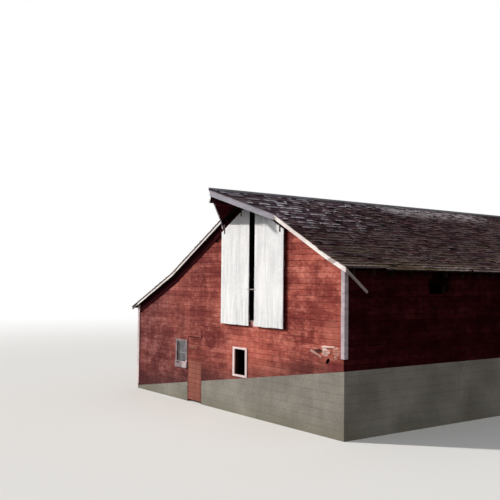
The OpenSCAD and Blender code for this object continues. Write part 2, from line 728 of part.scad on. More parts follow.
foundation_front_left();
foundation_front_right();
foundation_right();
foundation_rear();
foundation_left();
front_wall_left();
front_wall_over_door();
front_wall_middle();
front_wall_under_hay();
front_wall_right();
rear_wall();
left_wall();
right_wall();
loft_floor();
loft_joists();
loft_girders();
loft_posts();
loft_ledgers();
rafters_left();
rafters_right();
ridge_board();
roof_boards_left();
roof_boards_right();
shingles_left_upper();
shingles_left_lower();
shingles_right_upper();
shingles_right_lower();
ridge_cap();
hood_boards();
hood_fascia_left();
hood_fascia_right();
hay_track();
rake_boards_front();
rake_boards_rear();
corner_boards_left();
corner_boards_right();
window_casings();
window_sashes();
window_glass();
hay_door_left();
hay_door_right();
hay_door_rails();
hay_door_hangers();
latch_bar();
hay_sill();
walk_door_frame();
walk_door_pintles();
walk_door();
walk_door_straps();
loose_eave_board();
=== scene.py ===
import math

import bmesh
import bpy
import numpy as np
from mathutils import Matrix, Vector, noise


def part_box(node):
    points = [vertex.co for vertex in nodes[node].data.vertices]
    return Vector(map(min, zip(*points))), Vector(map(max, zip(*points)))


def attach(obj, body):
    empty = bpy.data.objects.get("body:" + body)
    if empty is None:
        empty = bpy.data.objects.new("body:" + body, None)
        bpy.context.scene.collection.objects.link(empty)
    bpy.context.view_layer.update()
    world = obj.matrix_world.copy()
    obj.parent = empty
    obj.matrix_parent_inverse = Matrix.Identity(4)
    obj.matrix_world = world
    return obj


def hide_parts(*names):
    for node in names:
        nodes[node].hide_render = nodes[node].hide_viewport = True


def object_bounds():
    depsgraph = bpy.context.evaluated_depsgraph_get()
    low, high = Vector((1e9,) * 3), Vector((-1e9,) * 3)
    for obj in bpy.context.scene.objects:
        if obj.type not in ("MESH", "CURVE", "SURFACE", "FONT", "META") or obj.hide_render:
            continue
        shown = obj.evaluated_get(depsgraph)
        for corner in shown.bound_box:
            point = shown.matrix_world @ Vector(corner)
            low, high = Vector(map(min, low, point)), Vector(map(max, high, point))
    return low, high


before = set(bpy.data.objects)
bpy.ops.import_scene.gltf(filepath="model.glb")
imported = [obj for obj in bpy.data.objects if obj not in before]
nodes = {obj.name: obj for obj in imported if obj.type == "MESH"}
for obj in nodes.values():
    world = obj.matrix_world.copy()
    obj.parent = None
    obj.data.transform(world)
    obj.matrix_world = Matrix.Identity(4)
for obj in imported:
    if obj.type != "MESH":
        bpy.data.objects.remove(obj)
cad_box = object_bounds()
collection = bpy.context.scene.collection

# A fixed seed, so that the trim's unevenness comes out the same in every run
noise.seed_set(7)

# Siding and the walls' other boards, in metres
SIDING_SHOWS = 0.1302
SIDING_T = 0.019
COVE_H = 0.028
COVE_DEPTH = 0.009
BOARD_RUN = 3.7
LONG_BOARD = 4.0
LEAF_BOARD_W = 0.135
LEAF_BOARD_T = 0.0185
FOOT_DEPTH = 0.032
# The near-black band under the left rake, which is painted shade: its thickness, its depth, and its depth
# over the rails
SHADOW_BAND_T = 0.012
SHADOW_BAND_DEPTH = 0.33
SHADOW_BAND_OVER_RAIL = 0.238
STUD_SPACING = 0.61
NAIL_R = 0.0045
NAIL_FLATNESS = 0.45
NAIL_SUNK = 0.0018
NAIL_REACH = 0.004
# The width of the painted shadow strip beside the right leaf
SHADOW_STRIP_W = 0.045
TRACK_TIP = 1.1

# Shingles and the roof's boards
SHINGLE_SHOWS = 0.140
SHINGLE_L = 0.30
SHINGLE_BUTT_T = 0.008
SHINGLE_TIP_T = 0.003
SHINGLE_RISE = 0.044
SHINGLE_W = 0.155
SHINGLE_BED = 0.030
SHINGLE_DEPTH = 0.034
SHINGLE_ROOM_OVER = 0.04
SHINGLE_ROOM_UNDER = 0.012
ROOF_DEPTH = 0.061
EAVE_OVERLAP = 0.03
WORN_RUN = 6.0
DECK_BOARD_W = 0.15
DECK_BOARD_T = 0.020

# How boards are let into what carries them, and how far the shape that cuts them stands out
SUNK = 0.0015
LAP = 0.001
CUT_ROOM = 0.01

# Trim: how far its edges are eased, how uneven it is, and how often along its run
EASE = 0.003
UNEVEN = 0.002
UNEVEN_STEP = 0.3

# What counts as a side: how squarely a face looks its way, and how near a corner is to it
FACING = 0.8
ON_SIDE = 0.0015

# Places on the barn
FRONT, REAR, RIGHT, LEFT = Vector((0, -1, 0)), Vector((0, 1, 0)), Vector((1, 0, 0)), Vector((-1, 0, 0))
UP, DOWN = Vector((0, 0, 1)), Vector((0, 0, -1))
FRONT_WALLS = ["front_wall_left", "front_wall_over_door", "front_wall_middle", "front_wall_under_hay",
               "front_wall_right"]
left_upper, left_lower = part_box("shingles_left_upper"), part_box("shingles_left_lower")
left_leaf, right_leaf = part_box("hay_door_left"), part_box("hay_door_right")
ridge_x, ridge_z = left_upper[1].x, left_upper[1].z
left_bend_x, left_bend_z = left_upper[0].x, left_lower[1].z
left_eave_x, left_eave_z = left_lower[0].x, left_lower[0].z + SHINGLE_DEPTH
right_eave_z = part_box("shingles_right_lower")[0].z
rake_y = left_lower[0].y
front_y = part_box("front_wall_middle")[0].y
left_x, right_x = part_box("left_wall")[0].x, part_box("right_wall")[1].x
left_foot_z, right_foot_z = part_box("foundation_left")[1].z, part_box("foundation_right")[1].z


class Value:
    """One output of a node, which Python expressions can use."""

    def __init__(self, graph, socket):
        self.graph = graph
        self.socket = socket

    def also(self, name):
        """Another output of the same node."""
        return Value(self.graph, self.socket.node.outputs[name])

    def __add__(self, other):
        return self.graph.math("ADD", self, other)

    def __sub__(self, other):
        return self.graph.math("SUBTRACT", self, other)

    def __rsub__(self, other):
        return self.graph.math("SUBTRACT", other, self)

    def __mul__(self, other):
        return self.graph.math("MULTIPLY", self, other)

    def __truediv__(self, other):
        return self.graph.math("DIVIDE", self, other)

    def __pow__(self, other):
        return self.graph.math("POWER", self, other)

    __radd__ = __add__
    __rmul__ = __mul__


class Graph:
    """A node tree that is written as expressions."""

    def __init__(self, tree):
        self.tree = tree

    def node(self, kind, settings, sockets, output=0):
        """Adds a node, sets its settings, then fills its sockets, and gives one of its outputs."""
        made = self.tree.nodes.new(kind)
        for name, setting in settings.items():
            if name == "stops":
                self.set_stops(made.color_ramp, setting)
            else:
                setattr(made, name, setting)
        for key, value in sockets.items():
            for part in value if isinstance(value, list) else [value]:
                if isinstance(part, Value):
                    self.tree.links.new(part.socket, made.inputs[key])
                else:
                    made.inputs[key].default_value = part
        return Value(self, made.outputs[output]) if made.outputs else None

    def set_stops(self, ramp, stops):
        while len(ramp.elements) < len(stops):
            ramp.elements.new(1)
        for element, (place, colour) in zip(ramp.elements, stops):
            element.position = place
            element.color = (*colour, 1)

    def math(self, operation, *values):
        return self.node("ShaderNodeMath", {"operation": operation}, dict(enumerate(values)))

    def vector(self, operation, *values):
        return self.node("ShaderNodeVectorMath", {"operation": operation}, dict(enumerate(values)))

    def point(self, x=0.0, y=0.0, z=0.0):
        """A vector made of three numbers."""
        return self.node("ShaderNodeCombineXYZ", {}, {"X": x, "Y": y, "Z": z})

    def along(self, vector, axis):
        """A vector's number along one axis."""
        return self.node("ShaderNodeSeparateXYZ", {}, {0: vector}, axis)

    def between(self, value, low, high):
        """How far a value has come from low to high, from 0 to 1."""
        return self.node("ShaderNodeMapRange", {"interpolation_type": "SMOOTHSTEP"},
                         {"Value": value, "From Min": low, "From Max": high})


class Finish(Graph):
    """A material's node tree, with the textures that the barn's finishes share."""

    def __init__(self, name):
        self.material = bpy.data.materials.new(name)
        self.material.use_nodes = True
        self.material.node_tree.nodes.clear()
        super().__init__(self.material.node_tree)
        self.place = self.node("ShaderNodeTexCoord", {}, {}, "Object")

    def attribute(self, name, output="Fac"):
        return self.node("ShaderNodeAttribute", {"attribute_name": name}, {}, output)

    def noise(self, stretch, detail=5, roughness=0.55, distortion=0.0, at=None):
        """Noise from 0 to 1, with stretch as its cycles in a metre along each axis."""
        at = self.place if at is None else at
        sockets = {"Vector": self.vector("MULTIPLY", at, stretch), "Scale": 1.0, "Detail": detail,
                   "Roughness": roughness, "Distortion": distortion}
        return self.node("ShaderNodeTexNoise", {}, sockets)

    def patchy(self, stretch, low, high, detail=5, roughness=0.55):
        """Noise that is 0 up to low and 1 from high on."""
        return self.between(self.noise(stretch, detail, roughness), low, high)

    def axis(self, name):
        """Where a point of the surface is along the barn's X, Y or Z."""
        return self.along(self.place, name)

    def rise(self, axis, low, high):
        """0 to 1 on the way from one place on an axis to another, which may be the lower one."""
        return self.between(self.axis(axis), low, high)

    def mix(self, share, first, second, way="MIX"):
        """A colour mixed from two, each a colour or another mix."""
        colours = [c if isinstance(c, Value) else (*c, 1) for c in (first, second)]
        return self.node("ShaderNodeMix", {"data_type": "RGBA", "blend_type": way},
                         {0: share, 6: colours[0], 7: colours[1]}, 2)

    def tinted(self, share, colour, tint):
        """A colour multiplied by a tint, as far as the share says."""
        return self.mix(share, colour, tint, "MULTIPLY")

    def shaded(self, colour, factor):
        """A colour made darker or lighter by a factor that varies."""
        grey = self.node("ShaderNodeCombineColor", {}, {0: factor, 1: factor, 2: factor})
        return self.tinted(1.0, colour, grey)

    def surface(self, colour, roughness=0.8, height=None, relief=0.002, **sockets):
        """Ends the tree in a Principled shader, with a height that becomes relief in metres."""
        made = {"Base Color": colour, "Roughness": roughness}
        made.update({name.replace("_", " "): value for name, value in sockets.items()})
        if height is not None:
            made["Normal"] = self.node("ShaderNodeBump", {}, {"Height": height, "Distance": relief})
        shader = self.node("ShaderNodeBsdfPrincipled", {}, made)
        self.node("ShaderNodeOutputMaterial", {}, {"Surface": shader})
        return self.material


# Spots on the gable where paint has gone or wood has rotted, and one painted patch of sunlight under the hay
# sill: how far right of the ridge and how high they are, half their width and height, how much they show, and
# their colour
GABLE_SPOTS = [
    (2.775, 1.800, 0.120, 0.085, 0.80, (0.70, 0.50, 0.44)),
    (3.125, 1.840, 0.125, 0.105, 0.60, (0.72, 0.36, 0.27)),
    (3.140, 1.868, 0.110, 0.014, 0.70, (0.30, 0.065, 0.048)),
    (3.095, 1.702, 0.048, 0.038, 0.80, (0.80, 0.46, 0.38)),
    (2.575, 1.806, 0.140, 0.052, 0.95, (0.060, 0.022, 0.018)),
    (2.980, 2.220, 0.260, 0.300, 0.26, (0.68, 0.25, 0.175)),
    (3.080, 1.520, 0.240, 0.100, 0.80, (0.36, 0.040, 0.045)),
    # A pale patch between the leaves' feet: painted sunlight
    (0.195, 2.275, 0.095, 0.085, 0.85, (0.90, 0.60, 0.56)),
    (2.860, 1.878, 0.190, 0.014, 0.80, (0.11, 0.045, 0.032))]

# Where the rake boards have lost their paint: near the right eave, and at the left eave beyond the wall
RAKE_SPOTS = [
    (3.100, 3.755, 0.150, 0.075, 0.70, (0.30, 0.21, 0.21)),
    (-5.760, 2.580, 0.230, 0.240, 0.90, (0.045, 0.032, 0.032))]

# The left window's sill is brightest at its right end, beside a notch: painted sunlight on a casing painted
# in shade.
SILL_SPOTS = [
    (-2.905, 0.985, 0.170, 0.120, 0.40, (0.74, 0.62, 0.62)),
    (-3.060, 0.985, 0.024, 0.018, 0.80, (0.10, 0.07, 0.07)),
    (-3.240, 1.015, 0.100, 0.020, 0.85, (0.035, 0.030, 0.034))]

# A black stain on the right wall around the hole under its eave, with places counted back from the gable
SIDE_SPOTS = [
    (3.010, 3.260, 0.420, 0.240, 0.85, (0.004, 0.001, 0.001)),
    (3.200, 3.480, 0.260, 0.160, 0.80, (0.004, 0.001, 0.001))]

# The wood's own coordinates lie along its grain, so they are stretched most there.
GRAIN = (1.6, 55, 55)
FINE_GRAIN = (6, 260, 260)

# Below this height the walk door is paler.
DOOR_PALE_BELOW_Z = 1.11


def on_gable(g):
    """1 on the front gable's face and 0 behind it."""
    return g.rise("Y", front_y + 0.06, front_y + 0.04)


def spotted(g, colour, spots, axis):
    """Adds ragged spots to a colour, on the gable for axis X or on the right wall for axis Y."""
    start, where = (ridge_x, on_gable(g)) if axis == "X" else (front_y, 1.0)
    ragged = g.noise((17, 17, 34), 5, 0.65) - 0.5
    for beside, z, half_width, half_height, share, shown in spots:
        away = (g.axis(axis) - (start + beside)) / half_width
        away_z = (g.axis("Z") - z) / half_height
        inside = g.between(away * away + away_z * away_z + ragged * 2.6, 1.25, 0.55)
        colour = g.mix(inside * where * share, colour, shown)
    return colour


def gable_marks(g, colour, patch, broad):
    """Splashes low on the gable, painted shade towards its left and at its left corner, and a painted shadow
    strip beside the right leaf.
    """
    foot_slope = (right_foot_z - left_foot_z) / (right_x - left_x)
    wall_foot = (g.axis("X") - left_x) * foot_slope + left_foot_z
    splashed = g.between(g.axis("Z") - wall_foot + (patch - 0.5) * 0.6, 0.65, 0.02)
    colour = g.mix(splashed * 0.6, colour, (0.075, 0.030, 0.028))
    # Painted shade: the siding darker and bluer towards the left, and darker still at the left corner.
    shade_to_left = g.between(g.axis("X") + g.axis("Z") * 0.45 + (broad - 0.5) * 3.0, ridge_x + 2.2, left_x + 0.6)
    colour = g.tinted(shade_to_left * 0.8, colour, (0.48, 0.66, 0.82))
    corner = g.rise("X", left_x + 1.0, left_x + 0.1)
    colour = g.tinted(corner * 0.8, colour, (0.78, 0.64, 0.66))
    # A painted shadow: a dark strip on the siding beside the right leaf's edge, where the leaf casts shade.
    leaf_end, leaf_foot = right_leaf[1].x, right_leaf[0].z
    shadow_strip_end = leaf_end + SHADOW_STRIP_W
    shadow_strip = (g.rise("X", shadow_strip_end + 0.015, shadow_strip_end - 0.015) * g.rise("X", leaf_end - 0.10, leaf_end - 0.05)
             * g.rise("Z", leaf_foot - 0.02, leaf_foot + 0.02))
    return g.tinted(shadow_strip * on_gable(g) * 0.9, colour, (0.30, 0.10, 0.12))


def door_marks(g, colour, patch, broad):
    """The lower part of the walk door is paler."""
    low = g.rise("Z", DOOR_PALE_BELOW_Z + 0.05, DOOR_PALE_BELOW_Z - 0.05)
    return g.mix(low * 0.7, colour, (0.33, 0.125, 0.092))


def leaf_marks(g, colour, patch, broad):
    """Runs of bare grey wood rise from the feet of the leaves."""
    runs = g.patchy((15.0, 15.0, 1.1), 0.50, 0.68, 5, 0.65)
    low = g.rise("Z", left_leaf[0].z + 0.75, left_leaf[0].z)
    return g.mix(runs * low * 0.6, colour, (0.46, 0.46, 0.48))


def weathered_paint(name, deep, light, chalk, bare, wear=0.5, streak=0.5, tones=0.1, lap_shade=0.0,
                    patches=(2.4, 2.4, 5.0), spots=(), spots_along="X", marks=None, shine=0.03):
    """Old paint on boards: uneven colour, chalky patches, rain streaks and wood where it has gone, with
    painted shade under each board's lap.
    Spots and marks are what one piece of the barn has beyond that."""
    g = Finish(name)
    tone = g.attribute("tone") - 0.5
    wood = g.attribute("grain", "Vector")
    up = g.along(g.attribute("own", "Vector"), "Z")
    broad = g.noise((0.5, 0.5, 0.6), 4)
    patch = g.noise(patches, 6, 0.60, 0.4)
    small = g.noise((9.0, 9.0, 14.0), 5, 0.6)
    rain = g.noise((6.5, 6.5, 0.55), 5, 0.6)
    grain = g.noise(GRAIN, 6, 0.6, at=wood)
    fine = g.noise(FINE_GRAIN, 3, at=wood)
    uneven = patch * 0.5 + broad * 0.45 + small * 0.12 + tone * tones
    colour = g.mix(g.between(uneven, 0.40, 0.66), deep, light)
    faded = g.between(small * 0.45 + patch * 0.4 + grain * 0.25 + tone * tones, 0.52, 0.78)
    colour = g.mix(faded * 0.8, colour, chalk)
    gone = g.between(grain * 0.6 + small * 0.35 + fine * 0.15 + tone * tones,
                     0.75 - wear * 0.2, 0.86 - wear * 0.2)
    colour = g.mix(gone * 0.8, colour, bare)
    if spots:
        colour = spotted(g, colour, spots, spots_along)
    if marks:
        colour = marks(g, colour, patch, broad)
    colour = g.shaded(colour, g.between(rain, 0.66, 0.34) * (streak * 0.5) + (1 - streak * 0.5))
    colour = g.shaded(colour, tone * tones * 2 + 1)
    # Painted shade under the lap at each board's top.
    colour = g.shaded(colour, 1 - g.between(up, 0.86, 1.0) * lap_shade)
    height = grain * 0.6 + fine * 0.4 - gone * 0.5
    return g.surface(colour, 0.8 + 0.15 * gone, height, 0.0016, Specular_IOR_Level=shine)


def bare_wood(name, dark, light, at=None, shine=0.03):
    """Unpainted sawn or weathered wood. At names the axis that the grain of a CAD piece follows."""
    g = Finish(name)
    if at is None:
        wood, tone, stretches = g.attribute("grain", "Vector"), g.attribute("tone"), (GRAIN, FINE_GRAIN)
    else:
        wood, tone = g.place, 0.5
        stretches = [tuple(run if axis == at else across * 0.6 for axis in "xyz")
                     for run, across, _ in (GRAIN, FINE_GRAIN)]
    grain = g.noise(stretches[0], 6, 0.62, 0.3, at=wood)
    fine = g.noise(stretches[1], 3, at=wood)
    stain = g.noise((1.4, 1.4, 1.4), 4)
    share = g.between(grain * 0.55 + fine * 0.2 + stain * 0.35 + tone * 0.2, 0.45, 0.8)
    colour = g.shaded(g.mix(share, dark, light), g.between(grain, 0.36, 0.46) * 0.35 + 0.65)
    return g.surface(colour, 0.9, grain * 0.7 + fine * 0.3, 0.0018, Specular_IOR_Level=shine)


def weathered_shingle():
    """Grey and brown wood shingles, each of its own tone. Those by the hood and under the ridge are the
    palest and most curled, some butts are worn pale, and moss grows towards the eaves. Painted light too:
    shade under each butt, a bluish shade tint and glints by the hood, and a greyer left slope because it is
    lit."""
    g = Finish("weathered_shingle")

    def back(near, far):
        """0 to 1 on the way between two places counted back from the gable."""
        return g.rise("Y", front_y + near, front_y + far)

    def below(near, far):
        """0 to 1 on the way between two depths below the ridge."""
        return g.rise("Z", ridge_z - near, ridge_z - far)

    tone = g.attribute("tone")
    up = g.along(g.attribute("own", "Vector"), "Z")
    grain = g.noise((120, 60, 5), 5, 0.65, at=g.attribute("grain", "Vector"))
    runs = g.noise((7.0, 1.1, 7.0), 5, 0.6)
    patch = g.noise((1.2, 0.8, 1.2), 4)

    # The left slope shows these pale places less.
    lit_left_slope = g.rise("X", ridge_x + 0.05, ridge_x - 0.25)
    right_more = 1 - lit_left_slope * 0.6
    by_cap = below(0.34, 0.14) * back(7.0, 3.0)
    by_hood = g.math("MAXIMUM", back(4.6, -0.6) * below(1.148, 0.518), by_cap * 0.85) * right_more
    by_ridge = below(0.46, 0.16) * back(4.0, 5.0) * back(9.4, 8.0) * right_more

    shade = (tone * 0.48 + runs * 0.62 + patch * 0.3 + (grain - 0.5) * 0.3
             + by_hood * 0.13 + by_cap * 0.10 + by_ridge * 0.3)
    colour = g.node("ShaderNodeValToRGB", {"stops": [
        (0.0, (0.012, 0.005, 0.006)), (0.35, (0.034, 0.014, 0.017)), (0.55, (0.067, 0.029, 0.033)),
        (0.75, (0.132, 0.068, 0.075)), (1.0, (0.50, 0.41, 0.42))]},
        {0: shade - 0.22})
    # Painted shade colour: a bluish tint by the hood, mostly on its darker shingles.
    colour = g.tinted(by_hood * (g.between(shade, 1.0, 0.6) * 0.55 + 0.35), colour, (1.04, 1.48, 1.90))
    # The lit left slope tinted greyer than the colours set for the shaded right slope: painted light.
    colour = g.tinted(lit_left_slope * 0.8, colour, (0.86, 1.16, 1.04))

    # Curled shingles by the hood are paler, partly pale wood, and their butts nearly white: painted glints.
    curled = g.between(g.attribute("curled"), 0.60, 0.90)
    colour = g.mix(curled * (by_hood * 0.35 + 0.06), colour, (0.50, 0.46, 0.54))
    colour = g.mix(curled * g.between(up, 0.24, 0.12) * by_hood * 0.85, colour, (0.90, 0.86, 0.93))
    bleached = by_ridge * g.patchy((12.0, 4.0, 12.0), 0.44, 0.56, 5, 0.65)
    colour = g.mix(bleached * 0.9, colour, (0.80, 0.72, 0.73))
    rake_end = (g.rise("Y", rake_y + 0.03, rake_y + 0.01) * g.rise("X", ridge_x - 1.1, ridge_x - 1.2)
                * g.rise("X", left_x - 0.1, left_x + 0.3))
    colour = g.mix(rake_end * 0.85, colour, (0.62, 0.55, 0.55))
    worn_butt = g.between(up, 0.11, 0.03) * g.patchy((5.0, 1.4, 5.0), 0.42, 0.58, 4)
    colour = g.mix(worn_butt * 0.72, colour, (0.34, 0.28, 0.25))
    eave_row = (g.rise("Z", right_eave_z + 0.17, right_eave_z + 0.13)
                * g.rise("X", right_x - 0.6, right_x - 0.4) * g.between(up, 0.26, 0.14)
                * g.patchy((3.0, 0.7, 3.0), 0.40, 0.56, 4))
    colour = g.mix(eave_row * 0.65, colour, (0.40, 0.33, 0.31))
    moss = below(0.748, 1.998) * g.patchy((5.0, 0.6, 5.0), 0.44, 0.62)
    colour = g.mix(moss * 0.52, colour, (0.140, 0.112, 0.058))
    # Painted shade under the butts of the course above.
    colour = g.shaded(colour, g.between(up, 0.52, 0.34) * 0.72 + 0.28)
    return g.surface(colour, 0.9, grain, 0.002, Specular_IOR_Level=0.02)


def concrete():
    """Old concrete, cast against boards and stained low down."""
    g = Finish("old_concrete")
    broad = g.noise((0.8, 0.8, 0.8))
    grit = g.noise((38, 38, 38), 6, 0.7)
    pits = g.patchy((60, 60, 60), 0.66, 0.72, 2)
    forms = g.noise((0.35, 0.35, 5.5), 2)
    runs = g.patchy((3.2, 3.2, 0.28), 0.5, 0.7, 5, 0.62)
    seam = g.between(g.math("PINGPONG", g.axis("Z") + (forms - 0.5) * 0.012, 0.095), 0.007, 0.001)
    colour = g.mix(g.between(broad * 0.6 + grit * 0.4, 0.38, 0.62), (0.155, 0.140, 0.117), (0.28, 0.26, 0.22))
    colour = g.mix(runs * 0.35, colour, (0.12, 0.10, 0.076))
    colour = g.mix(g.between(g.axis("Z") + broad * 0.6, 0.75, 0.25) * 0.45, colour, (0.13, 0.12, 0.075))
    colour = g.shaded(colour, 1 - seam * 0.3 - pits * 0.25)
    return g.surface(colour, 0.9, grit * 0.4 + forms * 0.7 - seam * 0.5 - pits * 0.4, 0.005)


def old_iron(name, clean, rusty, metallic, shine):
    """Iron that has rusted in patches, bare or under what is left of its paint."""
    g = Finish(name)
    rust = g.patchy((24, 24, 24), 0.4, 0.62, 6, 0.65)
    return g.surface(g.mix(rust, clean, rusty), 0.62 + 0.25 * rust, g.noise((90, 90, 90)), 0.001,
                     Metallic=metallic, Specular_IOR_Level=shine)


def old_glass():
    """Window glass under years of dust."""
    g = Finish("old_glass")
    dust = g.patchy((2.2, 2.2, 1.6), 0.25, 0.75, 3, 0.5)
    colour = g.mix(dust, (0.085, 0.074, 0.082), (0.165, 0.148, 0.160))
    return g.surface(colour, 0.12 + 0.35 * dust, None, Alpha=0.78 + 0.18 * dust)


red_siding = weathered_paint(
    "red_siding", (0.200, 0.038, 0.033), (0.482, 0.118, 0.086), (0.70, 0.285, 0.220), (0.50, 0.32, 0.26),
    wear=0.34, streak=0.4, tones=0.045, lap_shade=0.62, patches=(1.7, 1.7, 3.4), spots=GABLE_SPOTS,
    marks=gable_marks)
door_siding = weathered_paint(
    "door_siding", (0.15, 0.034, 0.030), (0.32, 0.080, 0.062), (0.46, 0.19, 0.15), (0.34, 0.22, 0.18),
    wear=0.34, streak=0.4, tones=0.045, lap_shade=0.62, marks=door_marks)
# The right wall's red, far darker than the gable's: painted shade of the side away from the key light.
side_siding = weathered_paint(
    "side_siding", (0.026, 0.003, 0.004), (0.052, 0.006, 0.008), (0.085, 0.018, 0.017),
    (0.07, 0.038, 0.034), wear=0.30, streak=0.5, tones=0.08, lap_shade=0.4, spots=SIDE_SPOTS, spots_along="Y",
    shine=0.0)
# Dark red paint, darkened further for the hood's underside and the fascias' inner faces: partly painted
# shade.
dark_red = weathered_paint(
    "dark_red", (0.042, 0.005, 0.009), (0.080, 0.011, 0.018), (0.110, 0.032, 0.038), (0.090, 0.050, 0.050),
    wear=0.3, streak=0.4, shine=0.0)
white_boards = weathered_paint(
    "white_boards", (0.73, 0.73, 0.745), (0.925, 0.925, 0.92), (0.94, 0.94, 0.935), (0.46, 0.46, 0.48),
    wear=0.15, streak=0.2, tones=0.015, patches=(8.0, 8.0, 0.8), marks=leaf_marks)
rake_paint = weathered_paint(
    "rake_paint", (0.75, 0.665, 0.64), (0.92, 0.865, 0.83), (0.94, 0.91, 0.89), (0.42, 0.33, 0.29),
    wear=0.3, streak=0.15, spots=RAKE_SPOTS)
corner_paint = weathered_paint(
    "corner_paint", (0.37, 0.305, 0.335), (0.55, 0.46, 0.49), (0.68, 0.60, 0.62), (0.34, 0.28, 0.27),
    wear=0.4, streak=0.25)
casing_paint = weathered_paint(
    "casing_paint", (0.58, 0.45, 0.45), (0.78, 0.63, 0.62), (0.85, 0.74, 0.72), (0.34, 0.26, 0.24),
    wear=0.4, streak=0.3)
# The casing paint, darker: painted shade on the gable's left window.
dull_casing = weathered_paint(
    "dull_casing", (0.14, 0.105, 0.112), (0.23, 0.175, 0.185), (0.33, 0.27, 0.28), (0.17, 0.12, 0.12),
    wear=0.4, streak=0.3, spots=SILL_SPOTS)
hood_paint = weathered_paint(
    "hood_paint", (0.72, 0.66, 0.75), (0.92, 0.86, 0.97), (0.95, 0.92, 0.97), (0.38, 0.35, 0.34), wear=0.35,
    streak=0.2)
sash_paint = weathered_paint(
    "sash_paint", (0.36, 0.375, 0.37), (0.60, 0.625, 0.60), (0.68, 0.70, 0.67), (0.14, 0.12, 0.11),
    wear=0.6, streak=0.4)
pale_wood = bare_wood("pale_wood", (0.46, 0.26, 0.22), (0.88, 0.66, 0.59))
pink_wood = bare_wood("pink_wood", (0.36, 0.15, 0.12), (0.66, 0.40, 0.34))
grey_wood = bare_wood("grey_wood", (0.17, 0.125, 0.12), (0.42, 0.34, 0.32))
cap_wood = bare_wood("cap_wood", (0.085, 0.079, 0.087), (0.24, 0.228, 0.248))
back_wood = bare_wood("back_wood", (0.17, 0.145, 0.13), (0.38, 0.34, 0.31), at="z")
# Near-black wood for the rafters and what stands behind the boards: painted shade.
inner_wood = bare_wood("inner_wood", (0.010, 0.005, 0.004), (0.032, 0.018, 0.015), at="x", shine=0.0)
tip_wood = bare_wood("tip_wood", (0.34, 0.33, 0.34), (0.66, 0.65, 0.67), at="y")
# Near-black wood for the ridge board and the hay track under the hood: painted shade.
track_wood = bare_wood("track_wood", (0.016, 0.004, 0.005), (0.045, 0.016, 0.018), at="y", shine=0.0)
# Near-black wood for the band under the left rake and for the hay door rails: painted shade.
tarred_wood = bare_wood("tarred_wood", (0.012, 0.002, 0.003), (0.034, 0.007, 0.009), shine=0.0)
timber = {axis: bare_wood(f"timber_{axis}", (0.05, 0.036, 0.027), (0.16, 0.115, 0.082), at=axis)
          for axis in "xyz"}
# Near-black roof boards, seen from below at the eaves and rakes: painted shade.
deck_wood = bare_wood("deck_wood", (0.014, 0.008, 0.008), (0.044, 0.029, 0.026), shine=0.0)
shingle_wood = weathered_shingle()
cast_wall = concrete()
iron = old_iron("bare_iron", (0.030, 0.024, 0.023), (0.075, 0.036, 0.026), 0.3, 0.2)
painted_iron = old_iron("painted_iron", (0.30, 0.110, 0.082), (0.17, 0.070, 0.052), 0.0, 0.03)
dusty_glass = old_glass()


def random_value(g, index, seed):
    """A number from 0 to 1 of its own for each index."""
    return g.node("FunctionNodeRandomValue", {"data_type": "FLOAT"},
                  {2: 0.0, 3: 1.0, "ID": index, "Seed": seed}, 1)


def stored(g, geometry, name, kind, domain, value):
    """A geometry with a named attribute on it."""
    return g.node("GeometryNodeStoreNamedAttribute", {"data_type": kind, "domain": domain},
                  {0: geometry, "Name": name, 3: value})


def named(g, name, kind="FLOAT"):
    """A named attribute of the geometry."""
    return g.node("GeometryNodeInputNamedAttribute", {"data_type": kind}, {"Name": name})


def shape_of(g, thing, space="ORIGINAL"):
    """An object's geometry, as it was drawn or, for RELATIVE, where it stands."""
    return g.node("GeometryNodeObjectInfo", {"transform_space": space}, {"Object": thing}, "Geometry")


def geometry_tree(name, sockets):
    """A new Geometry Nodes tree with named inputs, as a graph with those inputs by name."""
    tree = bpy.data.node_groups.new(name, "GeometryNodeTree")
    for label, kind in sockets.items():
        tree.interface.new_socket(label, in_out="INPUT", socket_type="NodeSocket" + kind)
    tree.interface.new_socket("Geometry", in_out="OUTPUT", socket_type="NodeSocketGeometry")
    graph = Graph(tree)
    start = tree.nodes.new("NodeGroupInput")
    return graph, {label: Value(graph, start.outputs[label]) for label in sockets}


def ended(g, geometry, material):
    """Ends a Geometry Nodes tree in plain geometry with a material."""
    geometry = g.node("GeometryNodeRealizeInstances", {}, {0: geometry})
    geometry = g.node("GeometryNodeSetMaterial", {}, {0: geometry, "Material": material})
    g.node("NodeGroupOutput", {}, {"Geometry": geometry})
    return g.tree


